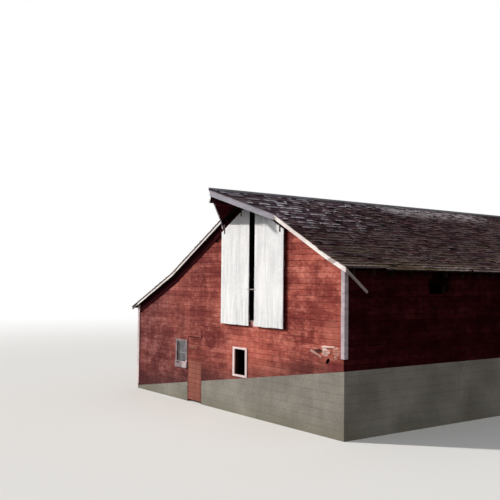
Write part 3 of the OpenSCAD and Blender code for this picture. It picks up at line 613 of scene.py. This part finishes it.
def courses_tree():
    """Lays copies of a board or shingle in courses over a wall or roof, and cuts them to its outline.
    A course runs along X, courses are stacked along Z, and -Y is the side that the weather sees."""
    g, given = geometry_tree("courses", {
        "Piece": "Object", "Outline": "Object", "Courses": "Int", "In a course": "Int", "Shows": "Float",
        "Width": "Float", "Before": "Float", "Stagger": "Float", "Uneven": "Float", "Gap": "Float",
        "Slip": "Float", "Lean": "Float", "Curl": "Float", "Worn": "Float", "Cup": "Float", "Warp": "Float",
        "Missing": "Float", "Seed": "Int", "Material": "Material"})
    index = g.node("GeometryNodeInputIndex", {}, {})
    course = g.math("FLOOR", (index + 0.5) / given["In a course"])
    in_course = index - course * given["In a course"]

    def draw(number, at=index):
        return random_value(g, at, given["Seed"] + number)

    # Each piece's ends, its place in the wall and its size
    first = in_course + given["Stagger"] * draw(1, course) - given["Before"]
    start = (first + given["Uneven"] * (draw(2) - 0.5)) * given["Width"]
    end = (first + 1 + given["Uneven"] * (draw(2, index + 1) - 0.5)) * given["Width"]
    worn = (g.between(start, WORN_RUN, 0.5) * g.between(course / given["Courses"], 0.3, 0.75)
            * given["Worn"] + 1)
    at = g.point((start + end) / 2, 0.0, course * given["Shows"] + given["Slip"] * (draw(3) - 0.5) * worn)
    points = g.node("GeometryNodePoints", {}, {
        "Count": given["Courses"] * given["In a course"], "Position": at})
    lean = g.point(y=given["Lean"] * (draw(4) - 0.5) * worn)
    pieces = g.node("GeometryNodeInstanceOnPoints", {}, {
        "Points": points, "Selection": g.math("GREATER_THAN", draw(5), given["Missing"]),
        "Instance": shape_of(g, given["Piece"]),
        "Rotation": g.node("FunctionNodeEulerToRotation", {}, {0: lean}),
        "Scale": g.point(end - start - given["Gap"], 1.0, 1.0)})
    for name, value in (("tone_of", draw(6)), ("curl_of", draw(7)), ("cup_of", draw(8)), ("worn_of", worn)):
        pieces = stored(g, pieces, name, "FLOAT", "INSTANCE", value)
    pieces = g.node("GeometryNodeRealizeInstances", {}, {0: pieces})

    # Warped, curled and cupped wood, with coordinates of its own in each piece
    tone = named(g, "tone_of")
    own = named(g, "own", "FLOAT_VECTOR")
    loose = named(g, "loose")
    curl_of = named(g, "curl_of")
    across = g.along(own, "X")
    position = g.node("GeometryNodeInputPosition", {}, {})
    apart = g.node("ShaderNodeVectorMath", {"operation": "SCALE"}, {0: (17.0, 9.0, 5.0), "Scale": tone})
    wood = g.vector("ADD", position, apart)
    wave = g.node("ShaderNodeTexNoise", {}, {"Vector": wood, "Scale": 0.9, "Detail": 1.0}) - 0.5
    curl = curl_of ** 3.0 * given["Curl"] * named(g, "worn_of") * loose
    cup = (named(g, "cup_of") - 0.25) * given["Cup"] * loose * across * across * 4
    out = g.point(0.0, given["Warp"] * wave - curl - cup, given["Warp"] * wave)
    pieces = g.node("GeometryNodeSetPosition", {}, {0: pieces, "Offset": out})
    pieces = stored(g, pieces, "tone", "FLOAT", "FACE", tone)
    pieces = stored(g, pieces, "grain", "FLOAT_VECTOR", "CORNER", wood)
    pieces = stored(g, pieces, "own", "FLOAT_VECTOR", "CORNER", own)
    pieces = stored(g, pieces, "curled", "FLOAT", "FACE", curl_of)

    outline = shape_of(g, given["Outline"], "RELATIVE")
    outline = stored(g, outline, "tone", "FLOAT", "FACE", 0.5)
    outline = stored(g, outline, "grain", "FLOAT_VECTOR", "CORNER", position)
    cut = g.node("GeometryNodeMeshBoolean", {"operation": "INTERSECT", "solver": "MANIFOLD"},
                 {1: [pieces, outline]})
    return ended(g, cut, given["Material"])


def nails_tree():
    """Sets a nail head in every course at each stud, where the wall is there to hold it."""
    g, given = geometry_tree("nails", {
        "Head": "Object", "Wall": "Object", "Rows": "Int", "Columns": "Int", "Row spacing": "Float",
        "Column spacing": "Float", "First row": "Float", "First column": "Float", "Scatter": "Float",
        "Seed": "Int", "Material": "Material"})
    index = g.node("GeometryNodeInputIndex", {}, {})
    row = g.math("FLOOR", (index + 0.5) / given["Columns"])
    column = index - row * given["Columns"]

    def scatter(number):
        return (random_value(g, index, given["Seed"] + number) - 0.5) * given["Scatter"]

    at = g.point(given["First column"] + column * given["Column spacing"] + scatter(1), 0.0,
                 given["First row"] + row * given["Row spacing"] + scatter(2))
    points = g.node("GeometryNodePoints", {}, {"Count": given["Rows"] * given["Columns"], "Position": at})
    wall = shape_of(g, given["Wall"], "RELATIVE")
    gap = g.node("GeometryNodeProximity", {"target_element": "FACES"}, {0: wall}, "Distance")
    points = g.node("GeometryNodeDeleteGeometry", {"domain": "POINT"},
                    {0: points, "Selection": g.math("GREATER_THAN", gap, NAIL_REACH)})
    heads = g.node("GeometryNodeInstanceOnPoints", {}, {
        "Points": points, "Instance": shape_of(g, given["Head"])})
    return ended(g, heads, given["Material"])


COURSES = courses_tree()
NAILS = nails_tree()


def show(name, data):
    """A new object in the scene."""
    made = bpy.data.objects.new(name, data)
    collection.objects.link(made)
    return made


def to_mesh(name, shape):
    """A mesh from a shape in editing form, which is used up."""
    mesh = bpy.data.meshes.new(name)
    shape.to_mesh(mesh)
    shape.free()
    return mesh


def grown(tree, place, **values):
    """The mesh that a Geometry Nodes tree makes at a place in the barn's frame."""
    host = show("host", bpy.data.meshes.new("host"))
    host.matrix_world = place
    modifier = host.modifiers.new(tree.name, "NODES")
    modifier.node_group = tree
    wanted = {name.replace("_", " "): value for name, value in values.items()}
    for socket in tree.interface.items_tree:
        if socket.in_out == "INPUT":
            modifier[socket.identifier] = wanted[socket.name]
    depsgraph = bpy.context.evaluated_depsgraph_get()
    mesh = bpy.data.meshes.new_from_object(host.evaluated_get(depsgraph), depsgraph=depsgraph)
    mesh.transform(place)
    bpy.data.objects.remove(host)
    return mesh


def merged(names):
    """The solids of some nodes as one mesh in editing form, with their loose triangles joined."""
    shape = bmesh.new()
    for name in names:
        part = bmesh.new()
        part.from_mesh(nodes[name].data)
        bmesh.ops.remove_doubles(part, verts=part.verts, dist=1e-5)
        copy = to_mesh("part", part)
        shape.from_mesh(copy)
        bpy.data.meshes.remove(copy)
    return shape


class Plane:
    """A flat side of some nodes, with an axis along it and one up it. Of those that look the same way,
    rank 0 is the largest and rank 1 the next. On a level one, courses are counted from the barn's foot."""

    def __init__(self, names, side, level=False, rank=0):
        shape = merged(names)
        shape.normal_update()
        areas = {}
        for face in shape.faces:
            if face.normal.dot(side) > FACING:
                key = tuple(round(c, 3) for c in face.normal)
                areas.setdefault(key, []).append(face)
        by_area = sorted(areas.values(), key=lambda group: -sum(face.calc_area() for face in group))
        faces = by_area[rank]
        self.out = faces[0].normal.copy()
        self.up = (UP - self.out * UP.dot(self.out)).normalized()
        self.along = self.up.cross(self.out)
        spots = [vertex.co for face in faces for vertex in face.verts]
        self.depth = max(spot.dot(self.out) for spot in spots)
        self.low = 0.0 if level else min(spot.dot(self.up) for spot in spots)
        self.high = max(spot.dot(self.up) for spot in spots)
        self.start = min(spot.dot(self.along) for spot in spots)
        self.end = max(spot.dot(self.along) for spot in spots)
        shape.free()

    def frame(self, sunk=0.0, below=0.0, upright=False):
        """The matrix of the plane's lower left corner, or of its lower right one for upright boards."""
        corner = self.end if upright else self.start
        origin = self.along * corner + self.up * (self.low - below) + self.out * (self.depth - sunk)
        axes = (self.up, -self.out, -self.along) if upright else (self.along, -self.out, self.up)
        return placed(axes, origin)


def placed(axes, origin):
    """The matrix with three axes and an origin."""
    matrix = Matrix.Identity(4)
    for column, axis in enumerate((*axes, origin)):
        for row in range(3):
            matrix[row][column] = axis[row]
    return matrix


def shifted(names, *moves):
    """The nodes' solids with whole flat sides moved outwards, each by its distance."""
    shape = merged(names)
    for plane, distance in moves:
        for vertex in shape.verts:
            if abs(vertex.co.dot(plane.out) - plane.depth) < ON_SIDE:
                vertex.co += plane.out * distance
    return shape


def profile_piece(name, profile, rings, loose):
    """A board or shingle of unit width along X, with an outline of (y, z) points at each ring.
    Its own attribute holds where a point is on it, and its loose attribute how far it can stand off."""
    shape = bmesh.new()
    own = shape.verts.layers.float_vector.new("own")
    slack = shape.verts.layers.float.new("loose")
    top = max(z for _, z in profile)
    loops = []
    for ring in range(rings + 1):
        x = ring / rings - 0.5
        loop = [shape.verts.new((x, y, z)) for y, z in profile]
        for vertex, (y, z) in zip(loop, profile):
            vertex[own] = (x, y, z / top)
            vertex[slack] = loose(x, z / top)
        loops.append(loop)
    for one, two in zip(loops, loops[1:]):
        for corner in range(len(profile)):
            following = (corner + 1) % len(profile)
            shape.faces.new((one[corner], one[following], two[following], two[corner]))
    shape.faces.new(loops[0][::-1])
    shape.faces.new(loops[-1])
    bmesh.ops.recalc_face_normals(shape, faces=shape.faces)
    return show(name, to_mesh(name, shape))


def loose_ends(x, z):
    """A board is held all along, and only its ends can stand off."""
    return abs(2 * x) ** 8


def siding_board():
    """A drop siding board: flat, with a cove at its top under the next board's edge."""
    top = SIDING_SHOWS
    profile = [(0, 0.001), (0, top - COVE_H), (COVE_DEPTH * 0.35, top - COVE_H * 0.8),
               (COVE_DEPTH * 0.85, top - COVE_H * 0.45), (COVE_DEPTH, top),
               (SIDING_T, top), (SIDING_T, 0.001)]
    return profile_piece("siding_board", profile, 8, loose_ends)


def flat_board(width, thickness, rings, chamfer, edge_gap):
    """A plain board with its outer edges eased."""
    profile = [(chamfer, edge_gap), (0, edge_gap + chamfer), (0, width - edge_gap - chamfer),
               (chamfer, width - edge_gap), (thickness, width - edge_gap), (thickness, edge_gap)]
    return profile_piece("flat_board", profile, rings, loose_ends)


def shingle():
    """A tapered shingle that leans on the courses under it, and can curl up at its butt."""
    def under(z):
        return -(SHINGLE_L - z) * SHINGLE_RISE

    def thick(z):
        return SHINGLE_BUTT_T + (SHINGLE_TIP_T - SHINGLE_BUTT_T) * z / SHINGLE_L

    rows = [0, 0.05, SHINGLE_SHOWS + 0.01, SHINGLE_L]
    profile = [(under(z), z) for z in reversed(rows)] + [(under(z) - thick(z), z) for z in rows]
    return profile_piece("shingle", profile, 2, lambda x, z: (1 - z) ** 2)


def laid(plane, outline, piece, material, shows, width, upright=False, sunk=SUNK, below=0.0, **values):
    """Courses of a piece over a plane, cut to an outline in editing form."""
    cutter = show("outline", to_mesh("outline", outline))
    length = plane.end - plane.start
    height = plane.high - plane.low
    stacked, run = (length, height) if upright else (height, length)
    settings = {"Before": 1.5, "Stagger": 1.0, "Uneven": 0.0, "Gap": 0.001, "Slip": 0.0, "Lean": 0.0,
                "Curl": 0.0, "Worn": 0.0, "Cup": 0.0, "Warp": 0.0, "Missing": 0.0, "Seed": 1, **values}
    mesh = grown(COURSES, plane.frame(sunk, below, upright), Piece=piece, Outline=cutter,
                 Courses=math.ceil((stacked + below) / shows) + 1,
                 In_a_course=math.ceil(run / width + settings["Before"]) + 1, Shows=shows, Width=width,
                 Material=material, **settings)
    bpy.data.objects.remove(cutter)
    return mesh


def joined(name, meshes):
    """One object from several meshes, each with its own materials."""
    parts = [show(name, mesh) for mesh in meshes]
    with bpy.context.temp_override(active_object=parts[0], selected_editable_objects=parts):
        bpy.ops.object.join()
    parts[0].name = name
    parts[0].data.name = name
    return parts[0]


def painted(mesh, material):
    """A mesh in one material."""
    mesh.materials.clear()
    mesh.materials.append(material)
    return mesh


def kept_inside(mesh):
    """Brings the few points that stand past the CAD's box back onto it."""
    spots = np.empty(len(mesh.vertices) * 3)
    mesh.vertices.foreach_get("co", spots)
    low, high = (np.array(corner) for corner in cad_box)
    mesh.vertices.foreach_set("co", np.clip(spots.reshape(-1, 3), low, high).ravel())


def add(name, meshes, replaced, body="barn"):
    """Adds a piece of the barn that stands for some nodes."""
    made = joined(name, meshes)
    kept_inside(made.data)
    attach(made, body)
    if replaced:
        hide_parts(*replaced)
    return made


def repainted(name, material, chosen):
    """Gives the chosen faces of a piece another material."""
    mesh = bpy.data.objects[name].data
    mesh.materials.append(material)
    for face in mesh.polygons:
        if chosen(face):
            face.material_index = 1


def faced(name, names, plane, boards, backing, moves=(), body="barn"):
    """A wall or door as its boards over what stands behind them, whose other sides may be moved too."""
    behind = shifted(names, (plane, -SIDING_T - LAP), *moves)
    add(name, [boards, painted(to_mesh("behind", behind), backing)], names, body)


def sided(name, names, side, covered, board, material, seed):
    """Drop siding on a wall. It covers the ends of the walls that are named, and where none is, it stops
    short at both corners, where theirs covers its own."""
    plane = Plane(names + covered, side, True)
    ends = [] if covered else [Plane(names, end) for end in (LEFT, RIGHT)]
    outline = shifted(names + covered, (plane, CUT_ROOM), *[(end, -SIDING_T) for end in ends])
    boards = laid(plane, outline, board, material, SIDING_SHOWS, BOARD_RUN, Uneven=0.5, Gap=0.002,
                  Warp=0.0022, Curl=0.006, Slip=0.002, Seed=seed)
    faced(name, names, plane, boards, inner_wood, [(end, -SIDING_T - LAP) for end in ends])


def wood_marks(shape, along, seed=0):
    """Gives a shape the grain and tone attributes. Each solid in it has a tone of its own, and a grain that
    runs from its lowest point along an axis to its highest."""
    grain = shape.loops.layers.float_vector.new("grain")
    tone = shape.faces.layers.float.new("tone")
    seen = {}
    number = seed
    for start in shape.verts:
        if start in seen:
            continue
        number += 1
        solid = []
        queue = [start]
        while queue:
            vertex = queue.pop()
            if vertex not in seen:
                seen[vertex] = None
                solid.append(vertex)
                queue.extend(edge.other_vert(vertex) for edge in vertex.link_edges)
        ends = [pick(solid, key=lambda vertex: vertex.co.dot(along)).co for pick in (min, max)]
        run = (ends[1] - ends[0]).normalized()
        side = run.orthogonal().normalized()
        marks = (run, side, run.cross(side), Vector((number * 7.3, number * 2.1, 0)), number)
        seen.update(dict.fromkeys(solid, marks))
    for face in shape.faces:
        run, side, other, shift, solid_number = seen[face.verts[0]]
        face[tone] = noise.cell(Vector((solid_number * 3.7, seed * 1.3, 0.5)))
        for loop in face.loops:
            spot = loop.vert.co
            loop[grain] = Vector((spot.dot(run), spot.dot(side), spot.dot(other))) + shift


def dressed(name, along, material):
    """A copy of a node with eased edges and a slight unevenness along it."""
    shape = merged([name])
    bmesh.ops.dissolve_limit(shape, angle_limit=math.radians(0.5), verts=shape.verts, edges=shape.edges)
    shape.normal_update()
    sharp = [edge for edge in shape.edges if edge.is_manifold and edge.calc_face_angle() > math.radians(30)]
    bmesh.ops.bevel(shape, geom=sharp, offset=EASE, segments=2, profile=0.5, affect="EDGES",
                    clamp_overlap=True)
    spots = [vertex.co.dot(along) for vertex in shape.verts]
    cut = math.floor(min(spots) / UNEVEN_STEP) * UNEVEN_STEP + UNEVEN_STEP
    while cut < max(spots):
        bmesh.ops.bisect_plane(shape, geom=[*shape.verts, *shape.edges, *shape.faces], dist=1e-5,
                               plane_co=along * cut, plane_no=along)
        cut += UNEVEN_STEP
    for vertex in shape.verts:
        vertex.co += noise.noise_vector(vertex.co * 2.3) * UNEVEN
    wood_marks(shape, along)
    return painted(to_mesh(name, shape), material)


def plank(outline, face_y, thickness, along, material, seed=0):
    """A flat board on the front gable, from its outline of (x, z) points."""
    shape = bmesh.new()
    face = shape.faces.new([shape.verts.new((x, face_y - thickness, z)) for x, z in outline])
    for made in bmesh.ops.extrude_face_region(shape, geom=[face])["geom"]:
        if isinstance(made, bmesh.types.BMVert):
            made.co.y = face_y
    bmesh.ops.recalc_face_normals(shape, faces=shape.faces)
    bmesh.ops.bevel(shape, geom=list(shape.edges), offset=EASE / 2, segments=1, affect="EDGES",
                    clamp_overlap=True)
    wood_marks(shape, along, seed)
    return painted(to_mesh("plank", shape), material)


def build_walls():
    """Drop siding on all four walls, over what stands behind it."""
    board = siding_board()
    for name, names, side, covered, material, seed in (
            ("front_siding", FRONT_WALLS, FRONT, [], red_siding, 11),
            ("rear_siding", ["rear_wall"], REAR, [], red_siding, 23),
            ("left_siding", ["left_wall"], LEFT, ["front_wall_left", "rear_wall"], red_siding, 37),
            ("right_siding", ["right_wall"], RIGHT, ["front_wall_right", "rear_wall"], side_siding, 41)):
        sided(name, names, side, covered, board, material, seed)
    bpy.data.objects.remove(board)


def build_nails():
    """Nail heads on the siding, one a course at each stud."""
    shape = bmesh.new()
    bmesh.ops.create_uvsphere(shape, u_segments=6, v_segments=4, radius=NAIL_R)
    for vertex in shape.verts:
        vertex.co.y *= NAIL_FLATNESS
    head = show("head", to_mesh("head", shape))
    heads = []
    for names, side, seed in (
            (FRONT_WALLS, FRONT, 3), (["rear_wall"], REAR, 5),
            (["left_wall"], LEFT, 7), (["right_wall"], RIGHT, 9)):
        plane = Plane(names, side, True)
        wall = show("wall", to_mesh("wall", merged(names)))
        heads.append(grown(NAILS, plane.frame(NAIL_SUNK), Head=head, Wall=wall,
                           Rows=math.ceil(plane.high / SIDING_SHOWS),
                           Columns=math.ceil((plane.end - plane.start) / STUD_SPACING),
                           Row_spacing=SIDING_SHOWS, Column_spacing=STUD_SPACING, First_row=0.03,
                           First_column=0.06, Scatter=0.02, Seed=seed, Material=iron))
        bpy.data.objects.remove(wall)
    bpy.data.objects.remove(head)
    add("siding_nails", heads, [])


def build_roof():
    """Shingles on both sides, with the hood's, over the roof's boards."""
    piece = shingle()
    for side, number in (("left", 1), ("right", 2)):
        upper, lower = f"shingles_{side}_upper", f"shingles_{side}_lower"
        slopes = {name: Plane([name], UP) for name in (upper, lower)}
        soffits = {name: Plane([name], DOWN) for name in (upper, lower)}
        for name, overhang in ((upper, EAVE_OVERLAP), (lower, 0.0)):
            outline = bmesh.new()
            for part in (upper, lower):
                mesh = to_mesh("part", shifted([part], (slopes[part], SHINGLE_ROOM_OVER),
                                               (soffits[part], SHINGLE_ROOM_UNDER)))
                outline.from_mesh(mesh)
                bpy.data.meshes.remove(mesh)
            mesh = laid(slopes[name], outline, piece, shingle_wood, SHINGLE_SHOWS, SHINGLE_W,
                        sunk=SHINGLE_BED, below=overhang, Uneven=0.85, Gap=0.005, Slip=0.010, Lean=0.018,
                        Curl=0.014, Worn=1.6, Cup=0.008, Missing=0.012, Seed=100 * number + len(name))
            add(f"{name}_courses", [mesh], [name])
    bpy.data.objects.remove(piece)


def build_decks():
    """The boards under the shingles, which show from below at the eaves, the rakes and the hood."""
    board = flat_board(DECK_BOARD_W, DECK_BOARD_T, rings=3, chamfer=0.003, edge_gap=0.002)
    for name, material, slot in (("roof_boards_left", deck_wood, "roof_boards"),
                                 ("roof_boards_right", deck_wood, "roof_boards"),
                                 ("hood_boards", dark_red, "dark_red_boards")):
        meshes = [laid(Plane([name], UP, rank=rank), merged([name]), board, material, DECK_BOARD_W,
                       BOARD_RUN, Uneven=0.4, Gap=0.004, Slip=0.002, Seed=300 + rank)
                  for rank in (0, 1)]
        add(f"{name}_planks", meshes, [name])
    bpy.data.objects.remove(board)


def build_hay_doors():
    """The two white leaves, of upright boards with uneven feet, over what carries them behind."""
    board = flat_board(LEAF_BOARD_W, LEAF_BOARD_T, rings=8, chamfer=0.0015, edge_gap=0.0005)
    for leaf, seed in (("hay_door_left", 51), ("hay_door_right", 62)):
        plane, foot = Plane([leaf], FRONT), Plane([leaf], DOWN)
        boards = laid(plane, shifted([leaf], (plane, CUT_ROOM)), board, white_boards, LEAF_BOARD_W,
                      LONG_BOARD, upright=True, sunk=0.001, Before=-0.001, Stagger=0.0025, Gap=0.0,
                      Warp=0.002, Seed=seed)
        faced(f"{leaf}_boards", [leaf], plane, boards, back_wood, [(foot, -FOOT_DEPTH)])
    bpy.data.objects.remove(board)


def build_walk_door():
    """The walk door, covered with siding whose courses run on from the wall's."""
    plane = Plane(["walk_door"], FRONT, True)
    board = siding_board()
    boards = laid(plane, shifted(["walk_door"], (plane, CUT_ROOM)), board, door_siding, SIDING_SHOWS,
                  BOARD_RUN, Seed=71)
    bpy.data.objects.remove(board)
    faced("walk_door_siding", ["walk_door"], plane, boards, back_wood, body="walk_door")


def build_trim():
    """Rake boards, fascias, corner boards and casings, with worn edges."""
    for name, along, material, slot in (
            ("rake_boards_front", RIGHT, rake_paint, "white_trim"),
            ("rake_boards_rear", RIGHT, rake_paint, "white_trim"),
            ("corner_boards_left", UP, casing_paint, "white_trim"),
            ("corner_boards_right", UP, corner_paint, "white_trim"),
            ("window_casings", UP, casing_paint, "white_trim"),
            ("window_sashes", UP, sash_paint, "sash_paint"),
            ("hood_fascia_left", RIGHT, hood_paint, "grey_white_boards"),
            ("hood_fascia_right", RIGHT, hood_paint, "grey_white_boards"),
            ("ridge_cap", REAR, cap_wood, "shingles"),
            # The hay sill's pale wood is partly painted sunlight, as is the pale spot under it.
            ("hay_sill", RIGHT, pale_wood, "red_siding"),
            ("walk_door_frame", UP, red_siding, "red_siding"),
            ("loose_eave_board", REAR, grey_wood, "bare_wood"),
            ("latch_bar", RIGHT, grey_wood, "bare_wood"),
            ("hay_door_rails", RIGHT, tarred_wood, "dark_red_boards")):
        add(f"{name}_dressed", [dressed(name, along, material)], [name])
    # The fascias' inner faces are repainted dark: painted shade.
    for name, inwards in (("hood_fascia_left", RIGHT + REAR), ("hood_fascia_right", LEFT + REAR)):
        repainted(f"{name}_dressed", dark_red, lambda face: face.normal.dot(inwards) > 1.3)
    # The gable's left window casing gets the darker copy, which is painted shade.
    repainted("window_casings_dressed", dull_casing,
              lambda face: face.center.x < ridge_x - 2 and face.center.y < front_y + 0.1)


def under_left_roof(x, drop):
    """A place on the front gable at a plumb depth under the surface of the left slopes."""
    if x > left_bend_x:
        share = (x - left_bend_x) / (ridge_x - left_bend_x)
        return x, left_bend_z + share * (ridge_z - left_bend_z) - drop
    share = (x - left_eave_x) / (left_bend_x - left_eave_x)
    return x, left_eave_z + share * (left_bend_z - left_eave_z) - drop


def build_shadow_band():
    """A near-black board along the top of the gable, under the left rake and down from the hay opening:
    painted shade where the roof's overhang and the rails shade the wall.
    """
    start, end = left_x + 0.01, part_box("front_wall_middle")[1].x
    rail_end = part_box("hay_door_rails")[0].x
    top = [under_left_roof(x, ROOF_DEPTH) for x in (start, left_bend_x, end)]
    foot = [under_left_roof(x, SHADOW_BAND_DEPTH) for x in (rail_end, left_bend_x, start)]
    over_rail = [under_left_roof(x, SHADOW_BAND_OVER_RAIL) for x in (end, rail_end)]
    mesh = plank(top + over_rail + foot, front_y, SHADOW_BAND_T, RIGHT, tarred_wood)
    add("left_frieze", [mesh], [])


def finish_frame():
    """The nodes that stay as CAD made them: foundations, timber, iron and glass."""
    foundations = [name for name in nodes if name.startswith("foundation")]
    for names, material in (
            (foundations, cast_wall),
            (["loft_joists", "loft_floor"], timber["x"]),
            (["loft_girders", "loft_ledgers"], timber["y"]),
            (["loft_posts"], timber["z"]),
            (["rafters_left", "rafters_right"], inner_wood),
            (["ridge_board", "hay_track"], track_wood),
            (["hay_door_hangers"], iron),
            (["walk_door_pintles", "walk_door_straps"], painted_iron),
            (["window_glass"], dusty_glass)):
        for name in names:
            painted(nodes[name].data, material)
    repainted("hay_track", tip_wood, lambda face: face.center.y < front_y - TRACK_TIP)


# Broken boards on the gable: how far they stand out, their wood, and their outline of points right of the
# ridge and up
SPLINTERS = [
    (0.012, pale_wood, [(2.665, 1.905), (2.690, 1.888), (2.860, 1.893), (3.060, 1.911), (3.110, 1.926),
                        (3.030, 1.938), (2.900, 1.932), (2.800, 1.936), (2.705, 1.927)]),
    (0.010, pale_wood, [(2.395, 1.868), (2.470, 1.853), (2.560, 1.845), (2.540, 1.861), (2.455, 1.873)]),
    (0.016, pale_wood, [(2.305, 1.796), (2.340, 1.832), (2.450, 1.790), (2.560, 1.746), (2.690, 1.690),
                        (2.664, 1.666), (2.560, 1.706), (2.430, 1.742), (2.325, 1.770)]),
    (0.014, pink_wood, [(2.868, 1.800), (2.884, 1.822), (2.930, 1.826), (2.955, 1.802), (2.925, 1.776),
                        (2.882, 1.779)]),
    (0.008, pale_wood, [(2.700, 1.868), (2.740, 1.842), (2.835, 1.850), (2.842, 1.866), (2.770, 1.876)]),
    (0.007, pale_wood, [(2.692, 1.822), (2.706, 1.764), (2.752, 1.742), (2.792, 1.760), (2.776, 1.812),
                        (2.735, 1.834)]),
    (0.007, pink_wood, [(3.040, 1.884), (3.085, 1.872), (3.190, 1.880), (3.222, 1.896), (3.150, 1.906)])]
BROKEN_EDGES = [
    [(2.793, 1.678), (2.793, 1.585), (2.815, 1.622), (2.838, 1.640), (2.868, 1.678)],
    [(2.928, 1.543), (2.928, 1.640), (2.905, 1.592), (2.878, 1.570), (2.862, 1.543)]]
BROKEN_EDGE_T = 0.012
BROKEN_EDGE_SUNK = 0.01

# The lower end of the hood's left fascia, which runs down past the rake board
FASCIA_END_OUT = 0.065
FASCIA_END = [(-1.206, 4.822), (-1.092, 4.617), (-1.046, 4.620), (-1.160, 4.820)]


def from_ridge(outline):
    """An outline's points in the barn's frame, from their places right of the ridge."""
    return [(ridge_x + x, z) for x, z in outline]


def build_damage():
    """What has come away low on the gable near its right corner."""
    meshes = [plank(from_ridge(outline), front_y, stands_out, RIGHT, wood, seed)
              for seed, (stands_out, wood, outline) in enumerate(SPLINTERS)]
    add("bare_splinters", meshes, [])
    meshes = [plank(from_ridge(outline), front_y + BROKEN_EDGE_SUNK, BROKEN_EDGE_T, RIGHT, red_siding, seed)
              for seed, outline in enumerate(BROKEN_EDGES)]
    add("broken_siding", meshes, [])


def build_fascia_end():
    """The piece of fascia that shows beside the left rake, below the hood."""
    mesh = plank(from_ridge(FASCIA_END), front_y, FASCIA_END_OUT, UP, corner_paint)
    add("fascia_end", [mesh], [])


# The camera stands where the photograph was taken from, and takes in the same field.
CAMERA_FROM_RIDGE = 14.617
CAMERA_FROM_GABLE = -10.764
CAMERA_Z = 3.350
CAMERA_YAW = math.radians(53.57)
CAMERA_PITCH = math.radians(2.23)
CAMERA_ROLL = math.radians(0.60)
CAMERA_LENS = 53.27


def build_camera():
    """A camera that looks along its yaw and pitch, turned about its own axis by its roll."""
    ahead_level = Vector((-math.sin(CAMERA_YAW), math.cos(CAMERA_YAW), 0))
    right = Vector((math.cos(CAMERA_YAW), math.sin(CAMERA_YAW), 0))
    ahead = ahead_level * math.cos(CAMERA_PITCH) + UP * math.sin(CAMERA_PITCH)
    top = UP * math.cos(CAMERA_PITCH) - ahead_level * math.sin(CAMERA_PITCH)
    turned_right = right * math.cos(CAMERA_ROLL) + top * math.sin(CAMERA_ROLL)
    turned_top = top * math.cos(CAMERA_ROLL) - right * math.sin(CAMERA_ROLL)
    data = bpy.data.cameras.new("camera")
    data.lens = CAMERA_LENS
    data.sensor_width = 36
    data.clip_end = 1000
    camera = show("camera", data)
    spot = Vector((ridge_x + CAMERA_FROM_RIDGE, front_y + CAMERA_FROM_GABLE, CAMERA_Z))
    camera.matrix_world = placed((turned_right, turned_top, -ahead), spot)
    bpy.context.scene.camera = camera


def build_light():
    """A low key light from the front left, a broad weak one from the front right, and an even fill."""
    for name, energy, angle, colour, towards in (
            ("key", 3.7, 3, (1.0, 0.965, 0.92), (1.08, 1.0, -0.67)),
            ("broad_fill", 0.66, 55, (1.0, 0.985, 0.97), (-0.5, 1.0, -0.4))):
        data = bpy.data.lights.new(name, "SUN")
        data.energy = energy
        data.angle = math.radians(angle)
        data.color = colour
        lamp = show(name, data)
        lamp.rotation_mode = "QUATERNION"
        lamp.rotation_quaternion = Vector(towards).to_track_quat("-Z", "Y")
    world = bpy.data.worlds.new("studio")
    bpy.context.scene.world = world
    world.use_nodes = True
    world.node_tree.nodes.clear()
    g = Graph(world.node_tree)
    even = g.node("ShaderNodeBackground", {}, {"Color": (0.93, 0.96, 1.0, 1), "Strength": 0.34})
    white = g.node("ShaderNodeBackground", {}, {"Color": (1, 1, 1, 1), "Strength": 1.0})
    both = g.node("ShaderNodeMixShader", {}, {0: seen_directly(g), 1: even, 2: white})
    g.node("ShaderNodeOutputWorld", {}, {"Surface": both})


def seen_directly(g):
    """1 for rays from the camera, a reflection or a pane, and 0 for those that light the barn."""
    path = g.node("ShaderNodeLightPath", {}, {}, "Is Camera Ray")
    either = g.math("MAXIMUM", path, path.also("Is Glossy Ray"))
    return g.math("MAXIMUM", either, path.also("Is Transmission Ray"))


# The floor's radius, and how far out it starts and ends its change to white
FLOOR_R = 400
FLOOR_FADES = (12.0, 45.0)


def build_floor():
    """A pale floor that throws little light back up at the barn, and fades into the white far off."""
    shape = bmesh.new()
    bmesh.ops.create_circle(shape, cap_ends=True, segments=64, radius=FLOOR_R)
    floor = show("floor", to_mesh("floor", shape))
    g = Finish("pale_floor")
    seen = seen_directly(g)
    away = g.node("ShaderNodeVectorMath", {"operation": "LENGTH"}, {0: g.place}, "Value")
    grey = g.mix(seen, (0.17, 0.165, 0.16), (0.86, 0.85, 0.83))
    pale = g.node("ShaderNodeBsdfDiffuse", {}, {"Color": grey})
    glow = g.node("ShaderNodeEmission", {}, {"Color": (1, 1, 1, 1), "Strength": 1.0})
    both = g.node("ShaderNodeMixShader", {}, {0: seen * g.between(away, *FLOOR_FADES), 1: pale, 2: glow})
    g.node("ShaderNodeOutputMaterial", {}, {"Surface": both})
    painted(floor.data, g.material)


build_camera()
build_light()
build_floor()
build_walls()
build_nails()
build_roof()
build_decks()
build_hay_doors()
build_walk_door()
build_trim()
build_shadow_band()
build_damage()
build_fascia_end()
finish_frame()

bpy.context.scene.view_settings.view_transform = "Standard"
